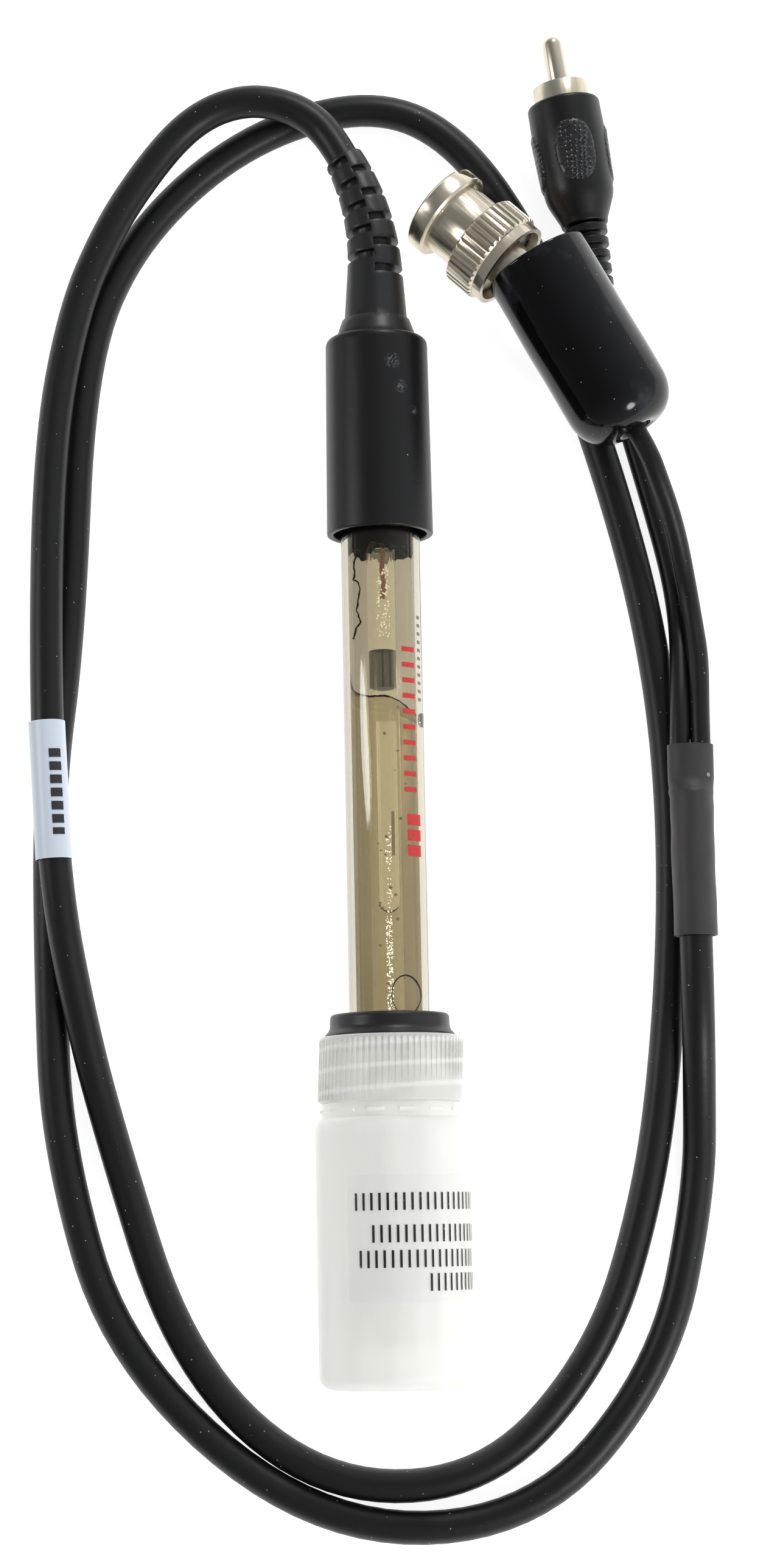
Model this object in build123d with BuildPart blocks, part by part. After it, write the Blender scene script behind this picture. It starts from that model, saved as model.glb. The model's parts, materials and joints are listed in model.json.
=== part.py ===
"""A combination pH electrode in its storage bottle, with its cord, BNC plug and cinch plug.

The electrode lies along Y on a table top at Z = 0, with its head towards +Y. The origin is on
the table under the middle of the electrode and bottle. All sizes are in millimetres.
"""

import os
from math import cos, pi, radians, sin, tan

from build123d import *

MM = 1.0

# Fits and cuts
overrun = 1.0 * MM
running_fit = 0.05 * MM
loose_fit = 0.1 * MM
run_share = 0.45
round_nose_share = 0.9

# Storage bottle
bottle_radius = 11.35 * MM
bottle_wall = 1.0 * MM
bottle_base_wall = 1.2 * MM
bottle_body_length = 39.3 * MM
bottle_base_fillet = 1.0 * MM
neck_radius = 9.4 * MM
neck_wall = 1.1 * MM
collar_radius = 10.3 * MM
collar_length = 2.3 * MM

# Bottle cap and its rubber gasket
cap_length = 9.8 * MM
cap_wall = 1.1 * MM
cap_top_wall = 1.2 * MM
cap_mouth_radius = 10.75 * MM
cap_top_radius = 10.4 * MM
cap_rib_height = 0.25 * MM
cap_rib_width = 0.5 * MM
cap_rib_count = 60
cap_turns = 1.2
cap_thread_pitch = 3.2 * MM
gasket_radius = 9.65 * MM
gasket_height = 3.3 * MM
gasket_neck_radius = 7.6 * MM
gasket_seal_radius = 9.0 * MM
gasket_seal_height = 1.4 * MM
gasket_edge = 0.5 * MM

# Shaft
shaft_radius = 6.0 * MM
shaft_wall = 1.0 * MM
shaft_free_length = 72.5 * MM
shaft_socket_depth = 6.0 * MM
tip_clearance = 5.0 * MM
guard_depth = 7.5 * MM
guard_slot_width = 3.0 * MM
guard_slot_depth = 6.0 * MM
guard_slot_count = 4
tip_seal_length = 3.5 * MM

# Inside the shaft
stem_radius = 2.15 * MM
stem_wall = 0.45 * MM
bulb_radius = 2.9 * MM
potting_depth = 2.4 * MM
gel_left_depth = 20.3 * MM
gel_right_depth = 26.1 * MM
stopper_length = 5.8 * MM
stopper_depth = 17.8 * MM
lead_wire_radius = 0.2 * MM
cartridge_radius = 1.0 * MM
cartridge_wall = 0.3 * MM
cartridge_offset = 0.55 * MM
cartridge_length = 28.0 * MM
cartridge_gap = 5.0 * MM
reference_wire_radius = 0.25 * MM
fill_plug_radius = 1.1 * MM
fill_plug_depth = 28.5 * MM
fill_plug_head = 0.5 * MM
junction_radius = 0.7 * MM
junction_offset = 4.1 * MM
sensor_radius = 0.75 * MM
sensor_offset = 4.0 * MM
sensor_length = 8.5 * MM

# Head
head_rim_radius = 8.05 * MM
head_top_radius = 7.75 * MM
head_length = 30.5 * MM
head_top_fillet = 2.2 * MM
head_rim_fillet = 0.4 * MM
head_rim_wall = 1.0 * MM
head_counterbore = 3.0 * MM

# Strain relief
relief_collar_radius = 6.2 * MM
relief_collar_top_radius = 5.2 * MM
relief_collar_length = 2.9 * MM
relief_base_radius = 4.8 * MM
relief_bend_radius = 4.25 * MM
relief_tip_radius = 3.05 * MM
relief_straight_length = 7.6 * MM
relief_arc_radius = 39.5 * MM
relief_turn = 28.0
relief_lean = 20.0
relief_core_share = 0.72
relief_slot_width = 1.3 * MM
relief_slot_pitch = 4.0 * MM
relief_slot_count = 5
relief_left_first_share = 0.3
relief_right_first_share = 0.85
relief_section_shares = [0, 0.35, 0.7, 1]

# Main cord
cord_radius = 2.5 * MM
cord_first_run = 4.6 * MM
cord_route = [
    (-9.5, 100.1, 8.9),
    (-13.8, 102.4, 8.6),
    (-19.1, 103.3, 8.3),
    (-24.7, 102.0, 7.9),
    (-29.8, 98.6, 7.5),
    (-35.2, 92.2, 7.3),
    (-41.0, 83.4, 7.2),
    (-46.6, 70.5, 7.2),
    (-50.6, 48.6, 7.2),
    (-51.2, 10.0, 8.5),
    (-49.8, -19.0, 8.5),
    (-46.6, -38.0, 5.2),
    (-42.6, -55.0, 2.5),
    (-32.0, -90.0, 2.5),
    (-12.0, -108.7, 2.5),
    (13.0, -108.7, 2.5),
    (30.6, -90.0, 2.5),
    (38.5, -66.0, 2.5),
    (42.0, -43.0, 2.5),
    (43.7, -18.0, 2.5),
    (43.2, 4.0, 2.5),
    (40.4, 24.0, 2.5),
    (35.8, 43.0, 2.5),
    (30.6, 60.0, 2.5),
    (25.6, 79.0, 2.5),
    (13.5, 98.6, 2.5),
    (-0.7, 104.9, 2.5),
    (-21.0, 98.6, 2.5),
    (-38.1, 82.7, 2.5),
    (-46.0, 63.0, 2.5),
    (-48.0, 20.0, 2.5),
    (-51.3, -4.0, 2.5),
    (-51.2, -32.0, 2.5),
    (-50.3, -58.0, 2.5),
    (-41.3, -89.7, 2.5),
    (-12.4, -114.8, 2.5),
    (19.7, -114.8, 2.5),
    (39.9, -92.3, 2.5),
    (46.0, -66.0, 2.5),
    (46.4, -50.0, 3.8),
    (46.2, -37.8, 7.9),
]

# Cable label and heat-shrink sleeve
label_centre = (-50.5, -4.5, 8.5)
label_direction = (1.4, -29.0, 0.0)
label_length = 21.0 * MM
label_radius = 2.8 * MM
label_wall = 0.16 * MM
sleeve_x = 46.2 * MM
sleeve_z = 7.9 * MM
sleeve_top_y = 0.7 * MM
sleeve_length = 29.0 * MM
sleeve_radius = 3.3 * MM
sleeve_top_half_width = 3.5 * MM
sleeve_top_half_depth = 2.2 * MM
sleeve_step_length = 7.0 * MM
sleeve_socket_depth = 3.0 * MM

# Leads
lead_radius = 1.55 * MM
lead_spacing = 3.3 * MM
cinch_lead_route = [
    (44.55, 5.0, 7.9),
    (45.3, 13.0, 5.4),
    (45.6, 21.0, 2.4),
    (44.6, 29.0, 1.6),
    (42.2, 39.0, 1.6),
    (39.6, 49.0, 1.6),
    (37.2, 58.0, 2.2),
    (35.4, 64.5, 4.7),
]
cinch_lead_last_run = 3.8 * MM
bnc_lead_route = [
    (47.85, 5.6, 7.9),
    (48.4, 14.0, 6.9),
    (47.4, 21.0, 5.6),
    (46.6, 26.5, 5.8),
    (45.6, 31.5, 7.6),
    (44.2, 36.2, 10.2),
    (42.4, 40.6, 12.7),
]
bnc_lead_boot_run = 4.0 * MM
bnc_lead_inside_point = (34.0, 59.0, 14.1)
bnc_lead_last_run = 5.0 * MM

# Boot of the BNC plug
boot_mouth = (24.5, 74.9, 13.9)
boot_heading = 118.5
boot_radius = 8.2 * MM
boot_wall = 1.0 * MM
boot_length = 30.5 * MM
boot_end_fillet = 4.0 * MM
boot_end_chamfer = 2.0 * MM
boot_mouth_fillet = 0.4 * MM
boot_dimple_radius = 3.4 * MM
boot_dimple_depth = 0.8 * MM
boot_depth_to_plug = 9.3 * MM

# BNC plug, along its own axis from the front rim of the nut
bnc_heading = 136.0
bnc_dip = 8.0
bnc_length_to_pivot = 26.7 * MM
nut_bore_radius = 4.9 * MM
nut_rim_radius = 7.15 * MM
nut_rim_length = 3.2 * MM
nut_barrel_radius = 5.85 * MM
nut_barrel_end = 8.4 * MM
nut_knurl_radius = 7.5 * MM
nut_knurl_end = 13.6 * MM
nut_knurl_count = 40
nut_knurl_depth = 0.35 * MM
nut_tail_radius = 7.0 * MM
nut_length = 15.2 * MM
nut_recess_start = 12.2 * MM
nut_recess_radius = 6.3 * MM
nut_chamfer = 0.4 * MM
bayonet_width = 2.2 * MM
bayonet_sweep = 75.0
bayonet_entry = 1.6 * MM
bayonet_rise = 4.9 * MM
bayonet_entry_depth = 5.8 * MM
bayonet_outer_radius = 6.4 * MM
bayonet_first_angle = 20.0
bayonet_count = 2
contact_radius = 4.05 * MM
contact_bore_radius = 3.5 * MM
contact_start = 1.0 * MM
contact_slit_width = 0.4 * MM
contact_slit_end = 6.5 * MM
contact_slit_count = 4
shoulder_start = 9.2 * MM
seal_ring_length = 1.2 * MM
shoulder_end = 13.0 * MM
plug_tail_radius = 3.7 * MM
plug_tail_end = 20.0 * MM
wave_washer_radius = 5.9 * MM
wave_washer_thickness = 0.5 * MM
retaining_ring_thickness = 0.8 * MM
washer_gap = 0.1 * MM
insulator_start = 4.6 * MM
insulator_nose_start = 2.4 * MM
insulator_nose_radius = 1.95 * MM
insulator_end = 11.0 * MM
bnc_pin_start = 1.9 * MM
bnc_pin_radius = 0.67 * MM
bnc_pin_point = 0.35 * MM
ferrule_radius = 3.2 * MM
ferrule_end = 26.0 * MM
ferrule_socket_depth = 3.0 * MM

# Cinch plug, along its own axis from the tip of the pin
cinch_tip = (28.3, 113.5, 5.75)
cinch_heading = 98.4
cinch_pin_radius = 1.6 * MM
cinch_pin_shank_radius = 1.3 * MM
cinch_shell_start = 8.2 * MM
cinch_shell_radius = 4.3 * MM
cinch_shell_wall = 0.35 * MM
cinch_shell_length = 7.0 * MM
cinch_insulator_start = 10.8 * MM
cinch_body_start = 11.1 * MM
cinch_body_radius = 5.65 * MM
cinch_body_front_fillet = 1.2 * MM
cinch_waist_start = 26.0 * MM
cinch_waist_radius = 5.4 * MM
cinch_neck_start = 30.0 * MM
cinch_neck_radius = 3.5 * MM
cinch_length = 41.9 * MM
cinch_end_radius = 2.6 * MM
cinch_rib_count = 5
cinch_rib_pitch = 2.1 * MM
cinch_rib_gap = 0.9 * MM
cinch_core_radius = 2.2 * MM

# Bottle film label
film_thickness = 0.12 * MM
film_start = 10.0 * MM
film_length = 19.0 * MM
film_from_angle = -35.0
film_to_angle = 110.0

# Places along the electrode's axis, from the base of the bottle to the tip of the relief
relief_reach = relief_arc_radius * sin(radians(relief_turn))
relief_rise = relief_tip_radius * sin(radians(relief_turn))
bottle_total = bottle_body_length + collar_length + cap_length + gasket_height
overall_length = (
    bottle_total + shaft_free_length + head_length + relief_collar_length
    + relief_straight_length + relief_reach + relief_rise
)
base_y = -overall_length / 2
shoulder_y = base_y + bottle_body_length
cap_mouth_y = shoulder_y + collar_length
cap_top_y = cap_mouth_y + cap_length
gasket_top_y = cap_top_y + gasket_height
rim_y = gasket_top_y + shaft_free_length
head_top_y = rim_y + head_length
relief_base_y = head_top_y + relief_collar_length
relief_bend_y = relief_base_y + relief_straight_length
shaft_top_y = rim_y + shaft_socket_depth
tip_y = base_y + bottle_base_wall + tip_clearance
seal_face_y = tip_y + guard_depth
neck_top_y = cap_top_y - cap_top_wall - gasket_seal_height
axis_z = bottle_radius
shaft_bore_radius = shaft_radius - shaft_wall
stem_bore_radius = stem_radius - stem_wall
potting_y = rim_y - potting_depth

axis_plane = Plane.XY.offset(axis_z)
electrode_axis = Axis((0, 0, axis_z), (0, 1, 0))


def turned(points, plane=axis_plane):
    """A closed outline of (radius, place along the axis) pairs, drawn on a plane through the axis."""
    with BuildSketch(plane) as outline:
        with BuildLine():
            Polyline(*points, close=True)
        make_face()
    return outline.sketch


def tube_outline(outer, inner, start, end, plane=axis_plane):
    """The half section of a plain tube or, with no inner radius, of a rod."""
    return turned([(inner, start), (outer, start), (outer, end), (inner, end)], plane)


def cross_plane(place, x=0.0, z=0.0):
    """A plane across the electrode's axis, facing the head."""
    return Plane((x, place, axis_z + z), x_dir=(1, 0, 0), z_dir=(0, 1, 0))


def heading_vector(heading, dip=0.0):
    """The unit vector at a heading above +X, dipped below the horizontal."""
    flat = cos(radians(dip))
    return Vector(flat * cos(radians(heading)), flat * sin(radians(heading)), -sin(radians(dip)))


def plug_plane(front, forward):
    """A plane through a plug's axis: its Y axis runs back from the front, its X axis is level."""
    back = -forward
    level = back.cross(Vector(0, 0, 1)).normalized()
    return Plane(front, x_dir=level, z_dir=level.cross(back))


def across(plane, place):
    """A plane across a plug's axis, facing back, at a distance behind its front."""
    return Plane(plane.origin + plane.y_dir * place, x_dir=plane.x_dir, z_dir=plane.y_dir)


def back_axis(plane):
    return Axis(plane.origin, plane.y_dir)


def circle_edges(part, radius, place):
    """The round edges of a part on the electrode's axis with a radius, at a place along it."""
    circles = part.edges().filter_by(GeomType.CIRCLE)
    return circles.filter_by(
        lambda edge: abs(edge.radius - radius) < running_fit and abs(edge.arc_center.Y - place) < running_fit
    )


def corner_radii(points):
    """The largest arcs that the runs of a route allow, one for each corner."""
    radii = []
    corners = [Vector(point) for point in points]
    for before, here, after in zip(corners, corners[1:], corners[2:]):
        turn = radians((here - before).get_angle(after - here))
        shorter = min((here - before).length, (after - here).length)
        radii.append(run_share * shorter / tan(turn / 2))
    return radii


def report_cord(name, points, radius, part, path_length):
    """Print the bends and check the tube's volume against its section times its length."""
    section = pi * radius**2
    radii = corner_radii(points)
    print(name, "length", round(path_length, 1), "least bend", round(min(radii), 1),
          "volume ratio", round(part.volume / (section * path_length), 4))


# The strain relief's bend: it leans left and down towards the table
lean = radians(relief_lean)
bend_side = Vector(-cos(lean), 0, -sin(lean))
bend_centre = Vector(0, relief_bend_y, axis_z) + bend_side * relief_arc_radius
bent_length = radians(relief_turn) * relief_arc_radius


def relief_place(distance):
    """The plane across the relief at a distance past the start of its bend, with X level and left."""
    turn = max(distance, 0) / relief_arc_radius
    outward = bend_side * -cos(turn) + Vector(0, 1, 0) * sin(turn)
    tangent = bend_side * sin(turn) + Vector(0, 1, 0) * cos(turn)
    place = bend_centre + outward * relief_arc_radius + tangent * min(distance, 0)
    return Plane(place, x_dir=Vector(0, 0, 1).cross(tangent), z_dir=tangent)


def relief_radius(distance):
    """The relief tapers evenly from its base to the bend, and from there to its tip."""
    if distance < 0:
        return relief_bend_radius - (relief_base_radius - relief_bend_radius) * distance / relief_straight_length
    return relief_bend_radius + (relief_tip_radius - relief_bend_radius) * distance / bent_length


relief_tip = relief_place(bent_length)

# Planes of the plugs and of the boot
boot_forward = heading_vector(boot_heading)
boot_plane = plug_plane(Vector(boot_mouth), boot_forward)
boot_end = boot_plane.origin + boot_plane.y_dir * boot_length
bnc_forward = heading_vector(bnc_heading, bnc_dip)
bnc_pivot = boot_plane.origin + boot_plane.y_dir * boot_depth_to_plug
bnc_plane = plug_plane(bnc_pivot + bnc_forward * bnc_length_to_pivot, bnc_forward)
cinch_plane = plug_plane(Vector(cinch_tip), heading_vector(cinch_heading))
cinch_end = cinch_plane.origin + cinch_plane.y_dir * cinch_length
ferrule_back = bnc_plane.origin + bnc_plane.y_dir * ferrule_end

os.makedirs("parts", exist_ok=True)

fill_plug_y = rim_y - fill_plug_depth
fill_plane = Plane((0, fill_plug_y, axis_z), x_dir=(0, 1, 0), z_dir=(1, 0, 0))

# Shaft tube with the slotted guard round its tip
with BuildPart() as shaft_tube:
    revolve(tube_outline(shaft_radius, shaft_bore_radius, tip_y, shaft_top_y), axis=electrode_axis)
    slot_centre_y = tip_y + guard_slot_depth - guard_slot_width / 2
    for number in range(guard_slot_count // 2):
        side = Vector(1, 0, 0).rotate(Axis.Y, 45 + 90 * number)
        with BuildSketch(Plane((0, slot_centre_y, axis_z), x_dir=(0, 1, 0), z_dir=side)):
            Circle(guard_slot_width / 2)
            Rectangle(guard_slot_depth, guard_slot_width, align=(Align.MAX, Align.CENTER))
        extrude(amount=shaft_radius + overrun, both=True, mode=Mode.SUBTRACT)
    with BuildSketch(fill_plane):
        Circle(fill_plug_radius)
    extrude(amount=shaft_radius + overrun, mode=Mode.SUBTRACT)
shaft_tube.part.label = "shaft_tube"
export_step(shaft_tube.part, "parts/shaft_tube.step")

# Rubber plug in the filling hole, flush outside, with a flange inside
with BuildPart() as fill_plug:
    with BuildSketch(fill_plane.offset(shaft_bore_radius)):
        Circle(fill_plug_radius)
    extrude(amount=shaft_wall)
    with BuildSketch(cross_plane(fill_plug_y - fill_plug_radius - overrun)):
        Circle(shaft_radius + overrun)
        Circle(shaft_radius, mode=Mode.SUBTRACT)
    extrude(amount=2 * (fill_plug_radius + overrun), mode=Mode.SUBTRACT)
    with BuildSketch(fill_plane.offset(shaft_bore_radius - fill_plug_head)):
        Circle(fill_plug_radius)
    extrude(amount=fill_plug_head)
fill_plug.part.label = "fill_plug"
export_step(fill_plug.part, "parts/fill_plug.step")

# Seal that closes the shaft behind the guard, bored for the stem, the sensor and the junction
with BuildPart() as tip_seal:
    with BuildSketch(cross_plane(seal_face_y)):
        Circle(shaft_bore_radius)
        Circle(stem_radius, mode=Mode.SUBTRACT)
        with Locations((-sensor_offset, 0)):
            Circle(sensor_radius, mode=Mode.SUBTRACT)
        with Locations((junction_offset, 0)):
            Circle(junction_radius, mode=Mode.SUBTRACT)
    extrude(amount=tip_seal_length)
tip_seal.part.label = "tip_seal"
export_step(tip_seal.part, "parts/tip_seal.step")

# Porous reference junction
with BuildPart() as junction:
    with BuildSketch(cross_plane(seal_face_y, x=junction_offset)):
        Circle(junction_radius)
    extrude(amount=tip_seal_length)
junction.part.label = "junction"
export_step(junction.part, "parts/junction.step")

# Temperature sensor tube with a round nose beside the bulb
with BuildPart() as sensor_tube:
    with BuildSketch(cross_plane(seal_face_y + tip_seal_length, x=-sensor_offset)):
        Circle(sensor_radius)
    extrude(amount=-sensor_length)
    fillet(sensor_tube.faces().sort_by(Axis.Y)[0].edges(), radius=sensor_radius * round_nose_share)
sensor_tube.part.label = "sensor_tube"
export_step(sensor_tube.part, "parts/sensor_tube.step")

# Glass stem blown out into the bulb at its tip
with BuildPart() as glass_stem:
    bulb_y = seal_face_y - bulb_radius - stem_wall
    revolve(tube_outline(stem_radius, stem_bore_radius, bulb_y, potting_y), axis=electrode_axis)
    with BuildSketch(axis_plane):
        with Locations((0, bulb_y)):
            Circle(bulb_radius)
            Rectangle(2 * bulb_radius, 2 * bulb_radius, align=(Align.MAX, Align.CENTER), mode=Mode.SUBTRACT)
    revolve(axis=electrode_axis)
    with BuildSketch(axis_plane):
        with Locations((0, bulb_y)):
            Circle(bulb_radius - stem_wall)
            Rectangle(2 * bulb_radius, 2 * bulb_radius, align=(Align.MAX, Align.CENTER), mode=Mode.SUBTRACT)
    revolve(axis=electrode_axis, mode=Mode.SUBTRACT)
    revolve(tube_outline(stem_bore_radius, 0, bulb_y, potting_y), axis=electrode_axis, mode=Mode.SUBTRACT)
glass_stem.part.label = "glass_stem"
export_step(glass_stem.part, "parts/glass_stem.step")

# Black potting that fills the end of the shaft inside the head
with BuildPart() as potting:
    with BuildSketch(cross_plane(potting_y)):
        Circle(shaft_bore_radius)
    extrude(amount=shaft_top_y - potting_y)
potting.part.label = "potting"
export_step(potting.part, "parts/potting.step")

# Rubber stopper inside the stem
stopper_top_y = rim_y - stopper_depth
with BuildPart() as stopper:
    with BuildSketch(cross_plane(stopper_top_y - stopper_length)):
        Circle(stem_bore_radius)
    extrude(amount=stopper_length)
stopper.part.label = "stopper"
export_step(stopper.part, "parts/stopper.step")

# Copper lead from the potting to the stopper
with BuildPart() as lead_wire:
    with BuildSketch(cross_plane(stopper_top_y, x=cartridge_offset)):
        Circle(lead_wire_radius)
    extrude(amount=potting_y - stopper_top_y)
lead_wire.part.label = "lead_wire"
export_step(lead_wire.part, "parts/lead_wire.step")

# Reference cartridge: a closed tube with a round end, held against the wall of the stem
cartridge_top_y = stopper_top_y - stopper_length - cartridge_gap
cartridge_end_y = cartridge_top_y - cartridge_length
cartridge_plane = Plane((cartridge_offset, 0, axis_z))
cartridge_axis = Axis((cartridge_offset, 0, axis_z), (0, 1, 0))
with BuildPart() as reference_cartridge:
    round_y = cartridge_end_y + cartridge_radius
    for radius, mode in ((cartridge_radius, Mode.ADD), (cartridge_radius - cartridge_wall, Mode.SUBTRACT)):
        with BuildSketch(cartridge_plane):
            with Locations((0, round_y)):
                Circle(radius)
                Rectangle(2 * radius, 2 * radius, align=(Align.MAX, Align.CENTER), mode=Mode.SUBTRACT)
            with Locations((0, round_y)):
                Rectangle(radius, cartridge_top_y - round_y, align=Align.MIN)
        revolve(axis=cartridge_axis, mode=mode)
reference_cartridge.part.label = "reference_cartridge"
export_step(reference_cartridge.part, "parts/reference_cartridge.step")

# Reference wire from the stopper to the end of the cartridge
with BuildPart() as reference_wire:
    wire_end_y = cartridge_end_y + 2 * cartridge_wall
    with BuildSketch(cross_plane(wire_end_y, x=cartridge_offset)):
        Circle(reference_wire_radius)
    extrude(amount=stopper_top_y - stopper_length - wire_end_y)
reference_wire.part.label = "reference_wire"
export_step(reference_wire.part, "parts/reference_wire.step")

# Gel between the stem and the shaft, with a slanted top
with BuildPart() as gel:
    gel_top_y = rim_y - gel_left_depth
    gel_fall = gel_right_depth - gel_left_depth
    gel_base_y = seal_face_y + tip_seal_length
    revolve(tube_outline(shaft_bore_radius, stem_radius, gel_base_y, gel_top_y), axis=electrode_axis)
    reach = shaft_bore_radius + overrun
    slope = gel_fall / (2 * shaft_bore_radius)
    with BuildSketch(Plane.XY):
        with BuildLine():
            Polyline(
                (-shaft_bore_radius, gel_top_y),
                (reach, gel_top_y - gel_fall - slope * overrun),
                (reach, gel_top_y + overrun),
                (-shaft_bore_radius, gel_top_y + overrun),
                close=True,
            )
        make_face()
    extrude(amount=2 * axis_z, mode=Mode.SUBTRACT)
    with BuildSketch(fill_plane.offset(shaft_bore_radius - fill_plug_head)):
        Circle(fill_plug_radius)
    extrude(amount=fill_plug_head + overrun, mode=Mode.SUBTRACT)
gel.part.label = "gel"
export_step(gel.part, "parts/gel.step")

# Head: a moulded cap, open round the shaft at its lower rim
with BuildPart() as head:
    revolve(
        turned([(0, rim_y), (head_rim_radius, rim_y), (head_top_radius, head_top_y), (0, head_top_y)]),
        axis=electrode_axis,
    )
    fillet(head.faces().sort_by(Axis.Y)[-1].edges(), radius=head_top_fillet)
    fillet(head.faces().sort_by(Axis.Y)[0].edges(), radius=head_rim_fillet)
    revolve(
        tube_outline(shaft_radius, 0, rim_y - overrun, shaft_top_y), axis=electrode_axis, mode=Mode.SUBTRACT
    )
    revolve(
        tube_outline(head_rim_radius - head_rim_wall, 0, rim_y - overrun, rim_y + head_counterbore),
        axis=electrode_axis, mode=Mode.SUBTRACT,
    )
head.part.label = "head"
export_step(head.part, "parts/head.step")

# Strain relief: a collar, a taper and a bent stretch with staggered slots on its two sides
with BuildPart() as strain_relief:
    revolve(
        turned([
            (0, head_top_y), (relief_collar_radius, head_top_y), (relief_collar_top_radius, relief_base_y),
            (relief_base_radius, relief_base_y), (relief_bend_radius, relief_bend_y), (0, relief_bend_y),
        ]),
        axis=electrode_axis,
    )
    for share in relief_section_shares:
        with BuildSketch(relief_place(bent_length * share)):
            Circle(relief_radius(bent_length * share))
    loft()
    for align, first_share in ((Align.MIN, relief_left_first_share), (Align.MAX, relief_right_first_share)):
        for number in range(relief_slot_count):
            distance = bent_length - relief_slot_pitch * (number + first_share)
            with BuildSketch(relief_place(distance)):
                Rectangle(2 * relief_base_radius, 4 * relief_base_radius, align=(align, Align.CENTER))
                Circle(relief_core_share * relief_radius(distance), mode=Mode.SUBTRACT)
            extrude(amount=relief_slot_width / 2, both=True, mode=Mode.SUBTRACT)
strain_relief.part.label = "strain_relief"
export_step(strain_relief.part, "parts/strain_relief.step")

# Storage bottle: a blown body with a collar and a plain neck
with BuildPart() as bottle:
    revolve(
        turned([
            (0, base_y), (bottle_radius, base_y), (bottle_radius, shoulder_y), (collar_radius, shoulder_y),
            (collar_radius, cap_mouth_y), (neck_radius, cap_mouth_y), (neck_radius, neck_top_y), (0, neck_top_y),
        ]),
        axis=electrode_axis,
    )
    fillet(circle_edges(bottle, bottle_radius, base_y), radius=bottle_base_fillet)
    fillet(circle_edges(bottle, bottle_radius, shoulder_y), radius=bottle_radius - collar_radius - loose_fit)
    revolve(
        turned([
            (0, base_y + bottle_base_wall), (bottle_radius - bottle_wall, base_y + bottle_base_wall),
            (bottle_radius - bottle_wall, shoulder_y - bottle_wall), (neck_radius - neck_wall, cap_mouth_y),
            (neck_radius - neck_wall, neck_top_y + overrun), (0, neck_top_y + overrun),
        ]),
        axis=electrode_axis, mode=Mode.SUBTRACT,
    )
bottle.part.label = "bottle"
export_step(bottle.part, "parts/bottle.step")

# Bottle cap: a drafted ring with fine upright ribs, and a hole that the gasket sits in
with BuildPart() as bottle_cap:
    inside_y = cap_top_y - cap_top_wall
    revolve(
        turned([
            (neck_radius + loose_fit, cap_mouth_y + loose_fit), (cap_mouth_radius, cap_mouth_y + loose_fit),
            (cap_top_radius, cap_top_y), (gasket_neck_radius + loose_fit, cap_top_y),
            (gasket_neck_radius + loose_fit, inside_y), (neck_radius + loose_fit, inside_y),
        ]),
        axis=electrode_axis,
    )
    fillet(circle_edges(bottle_cap, cap_top_radius, cap_top_y), radius=gasket_edge)
    rib_top_y = cap_top_y - gasket_edge
    rib_depth = cap_rib_height + cap_mouth_radius - cap_top_radius
    with BuildSketch(cross_plane(cap_mouth_y + loose_fit)):
        with PolarLocations(cap_top_radius - cap_rib_height / 2, cap_rib_count):
            Rectangle(rib_depth, cap_rib_width, align=(Align.MIN, Align.CENTER))
    extrude(amount=rib_top_y - cap_mouth_y - loose_fit)
bottle_cap.part.label = "bottle_cap"
export_step(bottle_cap.part, "parts/bottle_cap.step")

# Rubber gasket: a thick washer on the cap, a waist through its hole and a seal on the neck
with BuildPart() as gasket:
    bore = shaft_radius + running_fit
    revolve(
        turned([
            (bore, neck_top_y), (gasket_seal_radius, neck_top_y), (gasket_seal_radius, inside_y),
            (gasket_neck_radius, inside_y), (gasket_neck_radius, cap_top_y), (gasket_radius, cap_top_y),
            (gasket_radius, gasket_top_y), (bore, gasket_top_y),
        ]),
        axis=electrode_axis,
    )
    fillet(circle_edges(gasket, gasket_radius, cap_top_y), radius=gasket_edge)
    fillet(circle_edges(gasket, gasket_radius, gasket_top_y), radius=gasket_edge)
gasket.part.label = "gasket"
export_step(gasket.part, "parts/gasket.step")

# Clear film label wrapped part of the way round the bottle
with BuildPart() as bottle_film:
    with BuildSketch(cross_plane(base_y + film_start)):
        Circle(bottle_radius + film_thickness)
        Circle(bottle_radius, mode=Mode.SUBTRACT)
        with BuildLine():
            reach = 2 * bottle_radius
            start = (reach * cos(radians(film_from_angle)), -reach * sin(radians(film_from_angle)))
            end = (reach * cos(radians(film_to_angle)), -reach * sin(radians(film_to_angle)))
            middle_angle = radians((film_from_angle + film_to_angle) / 2)
            middle = (2 * reach * cos(middle_angle), -2 * reach * sin(middle_angle))
            Polyline((0, 0), start, middle, end, close=True)
        make_face(mode=Mode.INTERSECT)
    extrude(amount=film_length)
bottle_film.part.label = "bottle_film"
export_step(bottle_film.part, "parts/bottle_film.step")

# Main cord: two loose loops from the strain relief to the sleeve
cord_points = [relief_tip.origin, relief_tip.origin + relief_tip.z_dir * cord_first_run]
cord_points += [Vector(point) for point in cord_route]
cord_points += [Vector(sleeve_x, sleeve_top_y - sleeve_length + sleeve_socket_depth, sleeve_z)]
with BuildPart() as main_cord:
    with BuildLine() as cord_path:
        FilletPolyline(*cord_points, radius=corner_radii(cord_points))
    with BuildSketch(Plane(cord_points[0], z_dir=cord_path.line % 0)):
        Circle(cord_radius)
    sweep()
main_cord.part.label = "main_cord"
export_step(main_cord.part, "parts/main_cord.step")
report_cord("main cord", cord_points, cord_radius, main_cord.part, cord_path.wires()[0].length)

# Label folded round the cord
with BuildPart() as cable_label:
    with BuildSketch(Plane(label_centre, z_dir=label_direction)):
        Circle(label_radius)
        Circle(label_radius - label_wall, mode=Mode.SUBTRACT)
    extrude(amount=label_length / 2, both=True)
cable_label.part.label = "cable_label"
export_step(cable_label.part, "parts/cable_label.step")


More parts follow.
